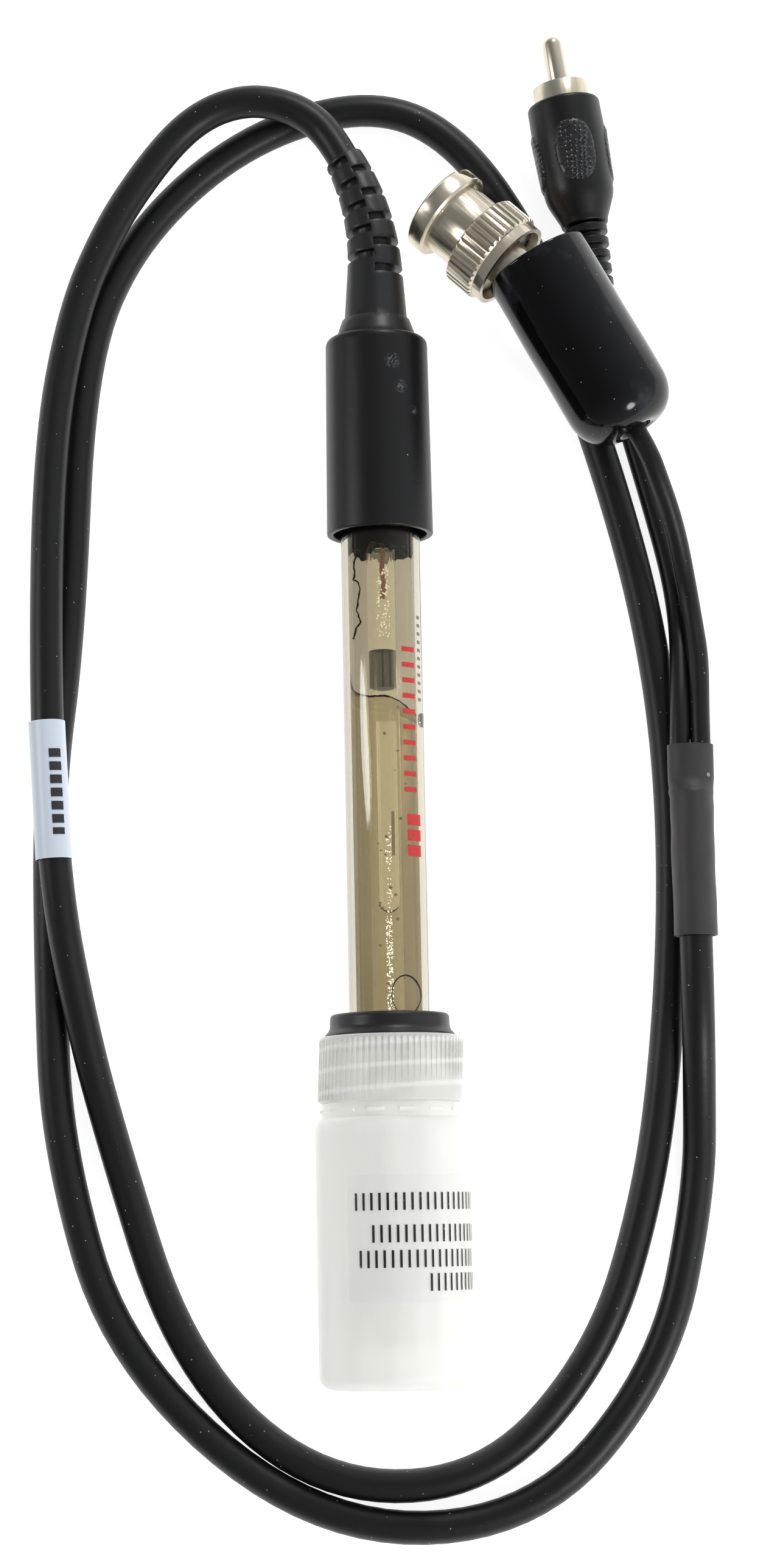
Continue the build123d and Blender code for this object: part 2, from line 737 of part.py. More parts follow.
def sleeve_plane(depth, side=0.0):
    """A plane across the sleeve, facing its top, at a depth below its top end."""
    return Plane((sleeve_x + side, sleeve_top_y - depth, sleeve_z), x_dir=(1, 0, 0), z_dir=(0, 1, 0))


# Heat-shrink sleeve where the cord splits: round below, drawn to an oval round the two leads
with BuildPart() as heat_shrink_sleeve:
    with BuildSketch(sleeve_plane(sleeve_length)):
        Circle(sleeve_radius)
    extrude(amount=sleeve_length - sleeve_step_length)
    with BuildSketch(sleeve_plane(sleeve_step_length)):
        Ellipse(sleeve_top_half_width, sleeve_top_half_depth)
    extrude(amount=sleeve_step_length)
    with BuildSketch(sleeve_plane(sleeve_length)):
        Circle(cord_radius + running_fit)
    extrude(amount=sleeve_socket_depth, mode=Mode.SUBTRACT)
    with BuildSketch(sleeve_plane(0)):
        with GridLocations(lead_spacing, 0, 2, 1):
            Circle(lead_radius + running_fit)
    extrude(amount=-sleeve_socket_depth, mode=Mode.SUBTRACT)
heat_shrink_sleeve.part.label = "heat_shrink_sleeve"
export_step(heat_shrink_sleeve.part, "parts/heat_shrink_sleeve.step")

# Lead to the cinch plug
cinch_points = [sleeve_plane(sleeve_socket_depth, -lead_spacing / 2).origin]
cinch_points += [Vector(point) for point in cinch_lead_route]
cinch_points += [cinch_end + cinch_plane.y_dir * cinch_lead_last_run, cinch_end]
with BuildPart() as cinch_lead:
    with BuildLine() as cinch_path:
        FilletPolyline(*cinch_points, radius=corner_radii(cinch_points))
    with BuildSketch(Plane(cinch_points[0], z_dir=cinch_path.line % 0)):
        Circle(lead_radius)
    sweep()
cinch_lead.part.label = "cinch_lead"
export_step(cinch_lead.part, "parts/cinch_lead.step")
report_cord("cinch lead", cinch_points, lead_radius, cinch_lead.part, cinch_path.wires()[0].length)

# Lead to the BNC plug, through the end of the boot to the ferrule
bnc_points = [sleeve_plane(sleeve_socket_depth, lead_spacing / 2).origin]
bnc_points += [Vector(point) for point in bnc_lead_route]
bnc_points += [boot_end + boot_plane.y_dir * bnc_lead_boot_run, boot_end - boot_plane.y_dir * bnc_lead_boot_run]
bnc_points += [Vector(bnc_lead_inside_point)]
ferrule_seat = across(bnc_plane, ferrule_end - ferrule_socket_depth).origin
bnc_points += [ferrule_seat + bnc_plane.y_dir * bnc_lead_last_run, ferrule_seat]
with BuildPart() as bnc_lead:
    with BuildLine() as bnc_path:
        FilletPolyline(*bnc_points, radius=corner_radii(bnc_points))
    with BuildSketch(Plane(bnc_points[0], z_dir=bnc_path.line % 0)):
        Circle(lead_radius)
    sweep()
bnc_lead.part.label = "bnc_lead"
export_step(bnc_lead.part, "parts/bnc_lead.step")
report_cord("BNC lead", bnc_points, lead_radius, bnc_lead.part, bnc_path.wires()[0].length)

# Boot: a dipped vinyl cap with a round end, a dimple and a hole for the lead
with BuildPart() as boot:
    dimple_y = boot_length - boot_dimple_depth
    cavity_y = dimple_y - boot_wall
    cavity_radius = boot_radius - boot_wall
    revolve(
        turned([(0, 0), (boot_radius, 0), (boot_radius, boot_length), (0, boot_length)], boot_plane),
        axis=back_axis(boot_plane),
    )
    fillet(boot.faces().sort_by(back_axis(boot_plane))[-1].edges(), radius=boot_end_fillet)
    fillet(boot.faces().sort_by(back_axis(boot_plane))[0].edges(), radius=boot_mouth_fillet)
    revolve(
        turned([
            (0, -overrun), (cavity_radius, -overrun), (cavity_radius, cavity_y - boot_end_chamfer),
            (cavity_radius - boot_end_chamfer, cavity_y), (0, cavity_y),
        ], boot_plane),
        axis=back_axis(boot_plane), mode=Mode.SUBTRACT,
    )
    revolve(
        tube_outline(boot_dimple_radius, 0, dimple_y, boot_length + overrun, boot_plane),
        axis=back_axis(boot_plane), mode=Mode.SUBTRACT,
    )
    revolve(
        tube_outline(lead_radius + running_fit, 0, cavity_y - overrun, boot_length + overrun, boot_plane),
        axis=back_axis(boot_plane), mode=Mode.SUBTRACT,
    )
boot.part.label = "boot"
export_step(boot.part, "parts/boot.step")

# Coupling nut: a rim, a barrel with two bayonet slots, and a knurled ring
bayonet_pitch = bayonet_rise * 360 / bayonet_sweep
with BuildPart() as coupling_nut:
    revolve(
        turned([
            (nut_bore_radius, 0), (nut_rim_radius - nut_chamfer, 0), (nut_rim_radius, nut_chamfer),
            (nut_rim_radius, nut_rim_length - nut_chamfer), (nut_rim_radius - nut_chamfer, nut_rim_length),
            (nut_barrel_radius, nut_rim_length), (nut_barrel_radius, nut_barrel_end),
            (nut_knurl_radius - nut_chamfer, nut_barrel_end), (nut_knurl_radius, nut_barrel_end + nut_chamfer),
            (nut_knurl_radius, nut_knurl_end - nut_chamfer), (nut_knurl_radius - nut_chamfer, nut_knurl_end),
            (nut_tail_radius, nut_knurl_end), (nut_tail_radius, nut_length), (nut_recess_radius, nut_length),
            (nut_recess_radius, nut_recess_start), (nut_bore_radius, nut_recess_start),
        ], bnc_plane),
        axis=back_axis(bnc_plane),
    )
    with BuildSketch(across(bnc_plane, nut_barrel_end)):
        with PolarLocations(nut_knurl_radius, nut_knurl_count):
            RegularPolygon(nut_knurl_depth, 4)
    extrude(amount=nut_knurl_end - nut_barrel_end, mode=Mode.SUBTRACT)
    for number in range(bayonet_count):
        entry_angle = bayonet_first_angle + number * 360 / bayonet_count
        with BuildSketch(across(bnc_plane, -overrun).rotated((0, 0, entry_angle))):
            Rectangle(bayonet_entry_depth, bayonet_width, align=(Align.MIN, Align.CENTER))
        extrude(amount=overrun + bayonet_entry, mode=Mode.SUBTRACT)
        entry_plane = across(bnc_plane, bayonet_entry).rotated((0, 0, entry_angle))
        end_plane = across(bnc_plane, bayonet_entry + bayonet_rise).rotated((0, 0, entry_angle + bayonet_sweep))
        for plane, reach in ((entry_plane, bayonet_entry_depth), (end_plane, bayonet_outer_radius)):
            with BuildSketch(Plane(plane.origin, z_dir=plane.x_dir)):
                Circle(bayonet_width / 2)
            extrude(amount=reach, mode=Mode.SUBTRACT)
        with BuildLine(entry_plane) as bayonet_path:
            Helix(bayonet_pitch, bayonet_rise, (nut_bore_radius + nut_barrel_radius) / 2)
        slot_plane = Plane(bayonet_path.line @ 0, x_dir=entry_plane.x_dir, z_dir=bayonet_path.line % 0)
        with BuildSketch(slot_plane):
            Rectangle(2 * (bayonet_outer_radius - nut_barrel_radius) + overrun, bayonet_width)
        sweep(path=bayonet_path.line, is_frenet=True, mode=Mode.SUBTRACT)
coupling_nut.part.label = "coupling_nut"
export_step(coupling_nut.part, "parts/coupling_nut.step")

# Body of the BNC plug, with its slit contact sleeve
shoulder_radius = nut_bore_radius - running_fit
with BuildPart() as plug_body:
    revolve(
        turned([
            (contact_bore_radius, contact_start), (contact_radius, contact_start), (contact_radius, shoulder_start),
            (shoulder_radius, shoulder_start), (shoulder_radius, shoulder_end), (plug_tail_radius, shoulder_end),
            (plug_tail_radius, plug_tail_end), (0, plug_tail_end), (0, insulator_end),
            (contact_bore_radius, insulator_end),
        ], bnc_plane),
        axis=back_axis(bnc_plane),
    )
    with BuildSketch(across(bnc_plane, 0)):
        with PolarLocations(0, contact_slit_count):
            Rectangle(contact_radius + overrun, contact_slit_width, align=(Align.MIN, Align.CENTER))
    extrude(amount=contact_slit_end, mode=Mode.SUBTRACT)
plug_body.part.label = "plug_body"
export_step(plug_body.part, "parts/plug_body.step")

# Rubber sealing ring against the shoulder
with BuildPart() as seal_ring:
    revolve(
        tube_outline(shoulder_radius, contact_radius, shoulder_start - seal_ring_length, shoulder_start, bnc_plane),
        axis=back_axis(bnc_plane),
    )
seal_ring.part.label = "seal_ring"
export_step(seal_ring.part, "parts/seal_ring.step")

# Wave washer in the recess of the nut
washer_start = nut_recess_start + washer_gap
with BuildPart() as wave_washer:
    revolve(
        tube_outline(
            wave_washer_radius, shoulder_radius + loose_fit, washer_start, washer_start + wave_washer_thickness,
            bnc_plane,
        ),
        axis=back_axis(bnc_plane),
    )
wave_washer.part.label = "wave_washer"
export_step(wave_washer.part, "parts/wave_washer.step")

# Retaining ring pressed on the body behind the washer
with BuildPart() as retaining_ring:
    revolve(
        tube_outline(
            wave_washer_radius, plug_tail_radius, shoulder_end, shoulder_end + retaining_ring_thickness, bnc_plane
        ),
        axis=back_axis(bnc_plane),
    )
retaining_ring.part.label = "retaining_ring"
export_step(retaining_ring.part, "parts/retaining_ring.step")

# Insulator and centre pin of the BNC plug
with BuildPart() as bnc_insulator:
    revolve(
        turned([
            (bnc_pin_radius, insulator_nose_start), (insulator_nose_radius, insulator_nose_start),
            (insulator_nose_radius, insulator_start), (contact_bore_radius, insulator_start),
            (contact_bore_radius, insulator_end), (bnc_pin_radius, insulator_end),
        ], bnc_plane),
        axis=back_axis(bnc_plane),
    )
bnc_insulator.part.label = "bnc_insulator"
export_step(bnc_insulator.part, "parts/bnc_insulator.step")

with BuildPart() as bnc_pin:
    revolve(
        turned([
            (0, bnc_pin_start), (bnc_pin_radius - bnc_pin_point, bnc_pin_start),
            (bnc_pin_radius, bnc_pin_start + bnc_pin_point), (bnc_pin_radius, insulator_end), (0, insulator_end),
        ], bnc_plane),
        axis=back_axis(bnc_plane),
    )
bnc_pin.part.label = "bnc_pin"
export_step(bnc_pin.part, "parts/bnc_pin.step")

# Crimp ferrule with the end of the lead in its socket
with BuildPart() as crimp_ferrule:
    socket_y = ferrule_end - ferrule_socket_depth
    revolve(
        turned([
            (0, plug_tail_end), (ferrule_radius, plug_tail_end), (ferrule_radius, ferrule_end),
            (lead_radius + running_fit, ferrule_end), (lead_radius + running_fit, socket_y), (0, socket_y),
        ], bnc_plane),
        axis=back_axis(bnc_plane),
    )
crimp_ferrule.part.label = "crimp_ferrule"
export_step(crimp_ferrule.part, "parts/crimp_ferrule.step")

# Cinch plug: pin, ground shell and the insulator between them
cinch_seat = cinch_shell_start + cinch_shell_length
shell_bore_radius = cinch_shell_radius - cinch_shell_wall
with BuildPart() as cinch_pin:
    revolve(tube_outline(cinch_pin_radius, 0, 0, cinch_insulator_start, cinch_plane), axis=back_axis(cinch_plane))
    revolve(
        tube_outline(cinch_pin_shank_radius, 0, cinch_insulator_start, cinch_seat, cinch_plane),
        axis=back_axis(cinch_plane),
    )
    fillet(
        cinch_pin.faces().sort_by(back_axis(cinch_plane))[0].edges(), radius=cinch_pin_radius * round_nose_share
    )
cinch_pin.part.label = "cinch_pin"
export_step(cinch_pin.part, "parts/cinch_pin.step")

with BuildPart() as cinch_shell:
    revolve(
        tube_outline(cinch_shell_radius, shell_bore_radius, cinch_shell_start, cinch_seat, cinch_plane),
        axis=back_axis(cinch_plane),
    )
cinch_shell.part.label = "cinch_shell"
export_step(cinch_shell.part, "parts/cinch_shell.step")

with BuildPart() as cinch_insulator:
    revolve(
        tube_outline(shell_bore_radius, cinch_pin_shank_radius, cinch_insulator_start, cinch_seat, cinch_plane),
        axis=back_axis(cinch_plane),
    )
cinch_insulator.part.label = "cinch_insulator"
export_step(cinch_insulator.part, "parts/cinch_insulator.step")

# Moulded body of the cinch plug, with its ribbed relief
with BuildPart() as cinch_body:
    revolve(
        turned([
            (0, cinch_body_start), (cinch_body_radius, cinch_body_start), (cinch_waist_radius, cinch_waist_start),
            (cinch_neck_radius, cinch_neck_start), (cinch_end_radius, cinch_length), (0, cinch_length),
        ], cinch_plane),
        axis=back_axis(cinch_plane),
    )
    fillet(
        cinch_body.faces().sort_by(back_axis(cinch_plane))[0].edges(), radius=cinch_body_front_fillet
    )
    revolve(
        tube_outline(cinch_shell_radius, 0, cinch_body_start - overrun, cinch_seat, cinch_plane),
        axis=back_axis(cinch_plane), mode=Mode.SUBTRACT,
    )
    for number in range(cinch_rib_count):
        gap_end = cinch_length - cinch_rib_pitch * (number + 1) + cinch_rib_gap
        revolve(
            tube_outline(cinch_neck_radius + overrun, cinch_core_radius, gap_end - cinch_rib_gap, gap_end, cinch_plane),
            axis=back_axis(cinch_plane), mode=Mode.SUBTRACT,
        )
cinch_body.part.label = "cinch_body"
export_step(cinch_body.part, "parts/cinch_body.step")
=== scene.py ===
# %% [markdown]
# # A pH electrode in its storage bottle, with its cord and two plugs
#
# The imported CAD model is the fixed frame: it says where every piece is and how it moves. This
# notebook dresses it. Each piece is either a CAD node that gets a better material, or a mesh of
# the same size that stands for the node and carries finer detail. Sizes are written in
# millimetres, as in the CAD, and turned to metres where a mesh is made.

# %% Load the frame
import json
import math
import random

import bmesh
import bpy
from mathutils import Matrix, Vector, noise

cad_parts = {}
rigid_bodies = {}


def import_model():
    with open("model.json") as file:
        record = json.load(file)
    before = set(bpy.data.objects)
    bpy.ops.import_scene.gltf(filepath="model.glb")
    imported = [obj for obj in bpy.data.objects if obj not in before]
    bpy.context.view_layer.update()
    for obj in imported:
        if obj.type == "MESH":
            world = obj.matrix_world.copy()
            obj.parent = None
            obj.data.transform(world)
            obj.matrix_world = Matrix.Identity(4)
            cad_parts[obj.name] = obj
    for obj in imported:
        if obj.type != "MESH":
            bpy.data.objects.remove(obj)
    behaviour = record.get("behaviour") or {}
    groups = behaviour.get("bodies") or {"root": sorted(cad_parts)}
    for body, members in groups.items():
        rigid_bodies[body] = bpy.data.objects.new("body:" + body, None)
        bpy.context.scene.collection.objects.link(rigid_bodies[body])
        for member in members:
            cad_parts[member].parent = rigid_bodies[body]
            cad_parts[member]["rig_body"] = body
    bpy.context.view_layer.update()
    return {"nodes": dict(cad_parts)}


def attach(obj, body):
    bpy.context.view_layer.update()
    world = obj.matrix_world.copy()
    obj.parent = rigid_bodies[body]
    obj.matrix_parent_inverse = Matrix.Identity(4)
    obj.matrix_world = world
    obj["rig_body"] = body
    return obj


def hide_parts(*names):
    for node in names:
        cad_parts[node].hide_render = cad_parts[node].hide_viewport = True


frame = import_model()
nodes = frame["nodes"]
MM = 0.001
AXIS_HEIGHT = 11.35
SHARP_ANGLE = math.radians(40)


def new_object(name, data):
    """A new object in the scene for a mesh, a curve, a light or a camera."""
    made = bpy.data.objects.new(name, data)
    bpy.context.scene.collection.objects.link(made)
    return made


def worked_out(piece):
    """A plain mesh of what a curve or a piece with modifiers shows."""
    depsgraph = bpy.context.evaluated_depsgraph_get()
    return bpy.data.meshes.new_from_object(piece.evaluated_get(depsgraph))


# %% [markdown]
# ## Camera
#
# The photograph was taken by hand from almost straight above, about half a metre away and tipped
# a little towards the head. A camera can be aimed with angles, but three directions at right
# angles, put into its matrix, leave no doubt about which way is up. The frame's long side is
# 36 mm on the sensor, so the lens is 74 mm.

# %% Camera
CAMERA_PLACE = Vector((-1.91, -72.18, 490.2)) * MM
VIEW_DIRECTION = Vector((0.0027, 0.1392, -0.9903)).normalized()
CAMERA_RIGHT = Vector((0.99981, -0.0194, 0.0))

camera_data = bpy.data.cameras.new("camera")
camera_data.lens = 74.07
camera_data.sensor_width = 36
camera = new_object("camera", camera_data)
back = -VIEW_DIRECTION
up = back.cross(CAMERA_RIGHT).normalized()
right = up.cross(back).normalized()
turn = Matrix((right, up, back)).transposed().to_4x4()
camera.matrix_world = Matrix.Translation(CAMERA_PLACE) @ turn
bpy.context.scene.camera = camera
print("camera", [round(v, 3) for v in camera.location])

# %% [markdown]
# ## Cords
#
# The cord is a round rubber cable that lies in two loose loops. It could be a swept mesh, but one
# NURBS spline stays easy to bend later. An order of 3 gives smooth bends that cut inside the
# corners of the route. The order and the end points are set after the points are added, because
# set before they don't hold.

# %% Line maker
def nurbs_line(name, places, radius, steps, roundness, widths=None):
    """A round line along places in millimetres; widths make it thicker or thinner at a point."""
    curve = bpy.data.curves.new(name, "CURVE")
    curve.dimensions = "3D"
    curve.resolution_u = steps
    curve.bevel_depth = radius * MM
    curve.bevel_resolution = roundness
    spline = curve.splines.new("NURBS")
    spline.points.add(len(places) - 1)
    for point, place, width in zip(spline.points, places, widths or [1.0] * len(places)):
        point.co = (*(Vector(place) * MM), 1.0)
        point.radius = width
    spline.order_u = 3
    spline.use_endpoint_u = True
    return new_object(name, curve)


# %% Main cord
CORD_RADIUS, LEAD_RADIUS = 2.5, 1.55
CORD_STEPS, CORD_ROUNDNESS = 10, 7
main_route = [
    (-4.345, 92.657, 9.769), (-6.374, 96.719, 9.03), (-9.5, 100.1, 8.9), (-13.8, 102.4, 8.6),
    (-19.1, 103.3, 8.3), (-24.7, 102.0, 7.9), (-29.8, 98.6, 7.5), (-35.2, 92.2, 7.3),
    (-41.0, 83.4, 7.2), (-46.6, 70.5, 7.2), (-50.6, 48.6, 7.2), (-51.2, 10.0, 8.5),
    (-49.8, -19.0, 8.5), (-46.6, -38.0, 5.2), (-42.6, -55.0, 2.5), (-32.0, -90.0, 2.5),
    (-12.0, -108.7, 2.5), (13.0, -108.7, 2.5), (30.6, -90.0, 2.5), (38.5, -66.0, 2.5),
    (42.0, -43.0, 2.5), (43.7, -18.0, 2.5), (43.2, 4.0, 2.5), (40.4, 24.0, 2.5),
    (35.8, 43.0, 2.5), (30.6, 60.0, 2.5), (25.6, 79.0, 2.5), (13.5, 98.6, 2.5),
    (-0.7, 104.9, 2.5), (-21.0, 98.6, 2.5), (-38.1, 82.7, 2.5), (-46.0, 63.0, 2.5),
    (-48.0, 20.0, 2.5), (-51.3, -4.0, 2.5), (-51.2, -32.0, 2.5), (-50.3, -58.0, 2.5),
    (-41.3, -89.7, 2.5), (-12.4, -114.8, 2.5), (19.7, -114.8, 2.5), (39.9, -92.3, 2.5),
    (46.0, -66.0, 2.5), (46.4, -50.0, 3.8), (46.2, -37.8, 7.9), (46.2, -25.3, 7.9),
]
main_cord = nurbs_line("main_cord_line", main_route, CORD_RADIUS, CORD_STEPS, CORD_ROUNDNESS)
print("main cord", len(main_route), "points")

# %% [markdown]
# The cord splits into two thinner leads, which leave the sleeve side by side. The one to the
# cinch plug drops to the table. The one to the BNC plug crosses over it and climbs into the end
# of the boot. They are made like the cord, so that all three bend alike.

# %% Leads
cinch_route = [
    (44.55, -2.3, 7.9), (44.9, 5.0, 7.9), (45.4, 13.0, 5.4), (45.6, 21.0, 2.4),
    (44.6, 29.0, 1.6), (42.2, 39.0, 1.6), (39.6, 49.0, 1.6), (37.2, 58.0, 2.2),
    (35.4, 64.5, 4.7), (34.976, 68.29, 5.75), (34.421, 72.049, 5.75),
]
bnc_route = [
    (47.85, -2.3, 7.9), (47.8, 5.6, 7.9), (48.15, 14.0, 7.1), (47.4, 21.0, 5.6),
    (46.6, 26.5, 5.8), (45.6, 31.5, 7.6), (44.2, 36.2, 10.2), (42.4, 40.6, 12.7),
    (40.962, 44.581, 13.9), (37.145, 51.611, 13.9), (34.0, 59.0, 14.1),
    (29.864, 65.834, 14.081), (26.302, 69.273, 13.385),
]
cinch_lead = nurbs_line("cinch_lead_line", cinch_route, LEAD_RADIUS, CORD_STEPS, CORD_ROUNDNESS)
bnc_lead = nurbs_line("bnc_lead_line", bnc_route, LEAD_RADIUS, CORD_STEPS, CORD_ROUNDNESS)
print("leads", len(cinch_route), len(bnc_route), "points")

# %% [markdown]
# ## Mesh makers
#
# Most of the pieces were turned or moulded round an axis. The Screw modifier could turn them, but
# a small function of our own may also press the surface in or out. A piece is drawn as half a
# profile, with each corner rounded a little so that it catches the light. Two points are added to
# each long straight run, one near either end, so that the flat faces stay flat when shaded
# smooth.

# %% Profiles
def soften(points, rounding, closed, steps):
    """Round the corners of (radius, along) points; a third number is a corner's own rounding."""
    count = len(points)
    result = []
    for index, point in enumerate(points):
        here = Vector(point[:2])
        if (not closed and index in (0, count - 1)) or here.x < 1e-6:
            result.append(here)
            continue
        before = Vector(points[index - 1][:2])
        after = Vector(points[(index + 1) % count][:2])
        reach = point[2] if len(point) > 2 else rounding
        reach = min(reach, 0.45 * (before - here).length, 0.45 * (after - here).length)
        if reach < 1e-4:
            result.append(here)
            continue
        start = here + (before - here).normalized() * reach
        end = here + (after - here).normalized() * reach
        for step in range(steps + 1):
            t = step / steps
            result.append(start * (1 - t) ** 2 + here * 2 * t * (1 - t) + end * t * t)
    return guard(result, rounding, closed)


def guard(points, rounding, closed):
    """Add a point just inside each end of every long straight run."""
    result = []
    for index, here in enumerate(points):
        result.append(here)
        if not closed and index == len(points) - 1:
            break
        after = points[(index + 1) % len(points)]
        if (after - here).length > 4 * rounding:
            side = (after - here).normalized() * rounding * 0.6
            result += [here + side, after - side]
    return result


def arc(radius, along, across_size, along_size, first, last, steps):
    """Profile points on a quarter of an ellipse; they need no rounding of their own."""
    turns = [math.radians(first + (last - first) * step / steps) for step in range(steps + 1)]
    return [
        (radius + across_size * math.cos(t), along + along_size * math.sin(t), 0.0) for t in turns
    ]


# %% [markdown]
# An axle is the line that a piece was turned round: the shaft's, the boot's, each plug's. The
# pieces could be made upright and then turned, but every finished piece has to lie unturned at
# the origin. So each point is placed straight away, by its radius, its angle and its distance.

# %% Axes
class Axle:
    """An axis that pieces are turned round: a point on it and its direction, in millimetres."""

    def __init__(self, origin, along):
        self.origin = Vector(origin)
        self.along = Vector(along).normalized()
        helper = Vector((0, 0, 1)) if abs(self.along.z) < 0.9 else Vector((1, 0, 0))
        self.side = self.along.cross(helper).normalized()
        self.up = self.side.cross(self.along).normalized()

    def at(self, radius, angle, distance):
        """A place at an angle up from the level side, in degrees."""
        a = math.radians(angle)
        outward = self.side * math.cos(a) + self.up * math.sin(a)
        return self.origin + self.along * distance + outward * radius


electrode = Axle((0, 0, AXIS_HEIGHT), (0, 1, 0))
boot_axle = Axle((24.5, 74.9, 13.9), (0.47716, -0.87882, 0))
cinch_axle = Axle((28.3, 113.5, 5.75), (0.146083, -0.989272, 0))
print("axes ready; electrode side", [round(v, 2) for v in electrode.side])

# %% [markdown]
# A turned mesh is a row of rings, one for each profile point, with faces between each ring and
# the next. The Spin tool makes the same, but rings written by a function can be pressed in or out
# on the way. bmesh builds them in memory and works out which way the faces look.

# %% Turned meshes
def bridge(mesh_maker, rings):
    """Faces between each ring of points and the next; a ring of one point gives triangles."""
    for one, two in zip(rings, rings[1:]):
        sides = max(len(one), len(two))
        for number in range(sides):
            after = (number + 1) % sides
            corners = [one[number % len(one)], two[number % len(two)]]
            corners += [two[after % len(two)], one[after % len(one)]]
            corners = list(dict.fromkeys(corners))
            if len(corners) > 2:
                mesh_maker.faces.new(corners)


def finish_mesh(name, mesh_maker):
    """Turn the finished bmesh into a smooth object at the origin."""
    bmesh.ops.recalc_face_normals(mesh_maker, faces=mesh_maker.faces)
    for face in mesh_maker.faces:
        face.smooth = True
    mesh = bpy.data.meshes.new(name)
    mesh_maker.to_mesh(mesh)
    mesh_maker.free()
    return new_object(name, mesh)


def turned(name, axle, profile, rounding=0.2, closed=True, sides=96, steps=4, shape=None):
    """A mesh turned from a profile; shape(radius, angle, along) may press the surface in or out."""
    mesh_maker = bmesh.new()
    rings = []
    for point in soften(profile, rounding, closed, steps):
        if point.x < 1e-6:
            rings.append([mesh_maker.verts.new(axle.at(0, 0, point.y) * MM)])
            continue
        ring = []
        for number in range(sides):
            angle = 360 * number / sides
            radius = shape(point.x, angle, point.y) if shape else point.x
            ring.append(mesh_maker.verts.new(axle.at(radius, angle, point.y) * MM))
        rings.append(ring)
    bridge(mesh_maker, rings + rings[:1] if closed else rings)
    return finish_mesh(name, mesh_maker)


def seat(piece, surface, body, slot, *replaced):
    """Give a piece its material and its body, and hide the CAD nodes that it stands for. The slot
    is not used.
    """
    piece.data.materials.clear()
    piece.data.materials.append(surface.material)
    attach(piece, body)
    if replaced:
        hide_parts(*replaced)
    print(piece.name, "rides on the", body)
    return piece


# %% [markdown]
# ## Shader groups
#
# Dust, scuffs and the fine grain of rubber and plastic are on many of the real surfaces. They
# could be painted images, but a rule needs no image and has no seam. Each is a node group, so
# that one change reaches every material. Object coordinates drive it, which stay with a piece as
# it moves.

# %% Node helpers
def add_node(tree, kind, inputs=None, **settings):
    """Add a node, set its properties and its inputs; an input may be a value or a socket."""
    node = tree.nodes.new(kind)
    for key, value in settings.items():
        setattr(node, key, value)
    for key, value in (inputs or {}).items():
        if isinstance(value, bpy.types.NodeSocket):
            tree.links.new(value, node.inputs[key])
        else:
            node.inputs[key].default_value = value
    return node


def math_node(tree, operation, one, two=0.0, clamp=False):
    """One step of arithmetic on values or sockets."""
    node = add_node(tree, "ShaderNodeMath", {0: one, 1: two}, operation=operation, use_clamp=clamp)
    return node.outputs["Value"]


def noise_node(tree, place, scale, detail):
    """A noise over a place, from 0 to 1."""
    inputs = {"Vector": place, "Scale": scale, "Detail": detail}
    return add_node(tree, "ShaderNodeTexNoise", inputs).outputs["Fac"]


def shader_group(name, inputs, output):
    """A shader node group with named float inputs and one float output."""
    tree = bpy.data.node_groups.new(name, "ShaderNodeTree")
    for label, value in inputs.items():
        socket = tree.interface.new_socket(label, in_out="INPUT", socket_type="NodeSocketFloat")
        socket.default_value = value
    tree.interface.new_socket(output, in_out="OUTPUT", socket_type="NodeSocketFloat")
    ends = tree.nodes.new("NodeGroupInput"), tree.nodes.new("NodeGroupOutput")
    place = tree.nodes.new("ShaderNodeTexCoord").outputs["Object"]
    return tree, place, ends[0].outputs, ends[1].inputs


# %% [markdown]
# Dust is a Voronoi pattern: each cell holds one speck at its centre, and only the cells whose
# random number is low enough show theirs.

# %% Dust specks
dust_specks, place, dust_in, dust_out = shader_group(
    "Dust Specks", {"Scale": 400.0, "Amount": 0.1, "Size": 0.2}, "Mask"
)
cells = add_node(
    dust_specks, "ShaderNodeTexVoronoi", {"Vector": place, "Scale": dust_in["Scale"]}
).outputs
chance = add_node(dust_specks, "ShaderNodeSeparateColor", {"Color": cells["Color"]}).outputs
chosen = math_node(dust_specks, "LESS_THAN", chance["Red"], dust_in["Amount"])
reach = math_node(dust_specks, "MULTIPLY", dust_in["Size"], chance["Green"])
near = math_node(dust_specks, "LESS_THAN", cells["Distance"], reach)
dust_specks.links.new(math_node(dust_specks, "MULTIPLY", chosen, near), dust_out["Mask"])
print("dust group", len(dust_specks.nodes), "nodes")

# %% [markdown]
# A scuff is where handling has rubbed the skin pale. It shows where a slow noise is high and a
# quick, streaky one is high as well, which breaks its outline up.

# %% Soft scuffs
SCUFF_GAIN = 8.0
soft_scuffs, place, scuff_in, scuff_out = shader_group(
    "Soft Scuffs", {"Scale": 60.0, "Edge": 0.6, "Streak": 6.0}, "Mask"
)
slow = noise_node(soft_scuffs, place, scuff_in["Scale"], 3.0)
quick_scale = math_node(soft_scuffs, "MULTIPLY", scuff_in["Scale"], scuff_in["Streak"])
quick = noise_node(soft_scuffs, place, quick_scale, 5.0)
above = math_node(soft_scuffs, "SUBTRACT", slow, scuff_in["Edge"])
gain = math_node(soft_scuffs, "MULTIPLY", above, SCUFF_GAIN, clamp=True)
soft_scuffs.links.new(math_node(soft_scuffs, "MULTIPLY", gain, quick), scuff_out["Mask"])
print("scuff group", len(soft_scuffs.nodes), "nodes")

# %% [markdown]
# The grain is what the mould leaves on rubber and plastic. It is a height for the Bump node,
# because it is far too fine for a mesh: fine noise with a slower wave under it.

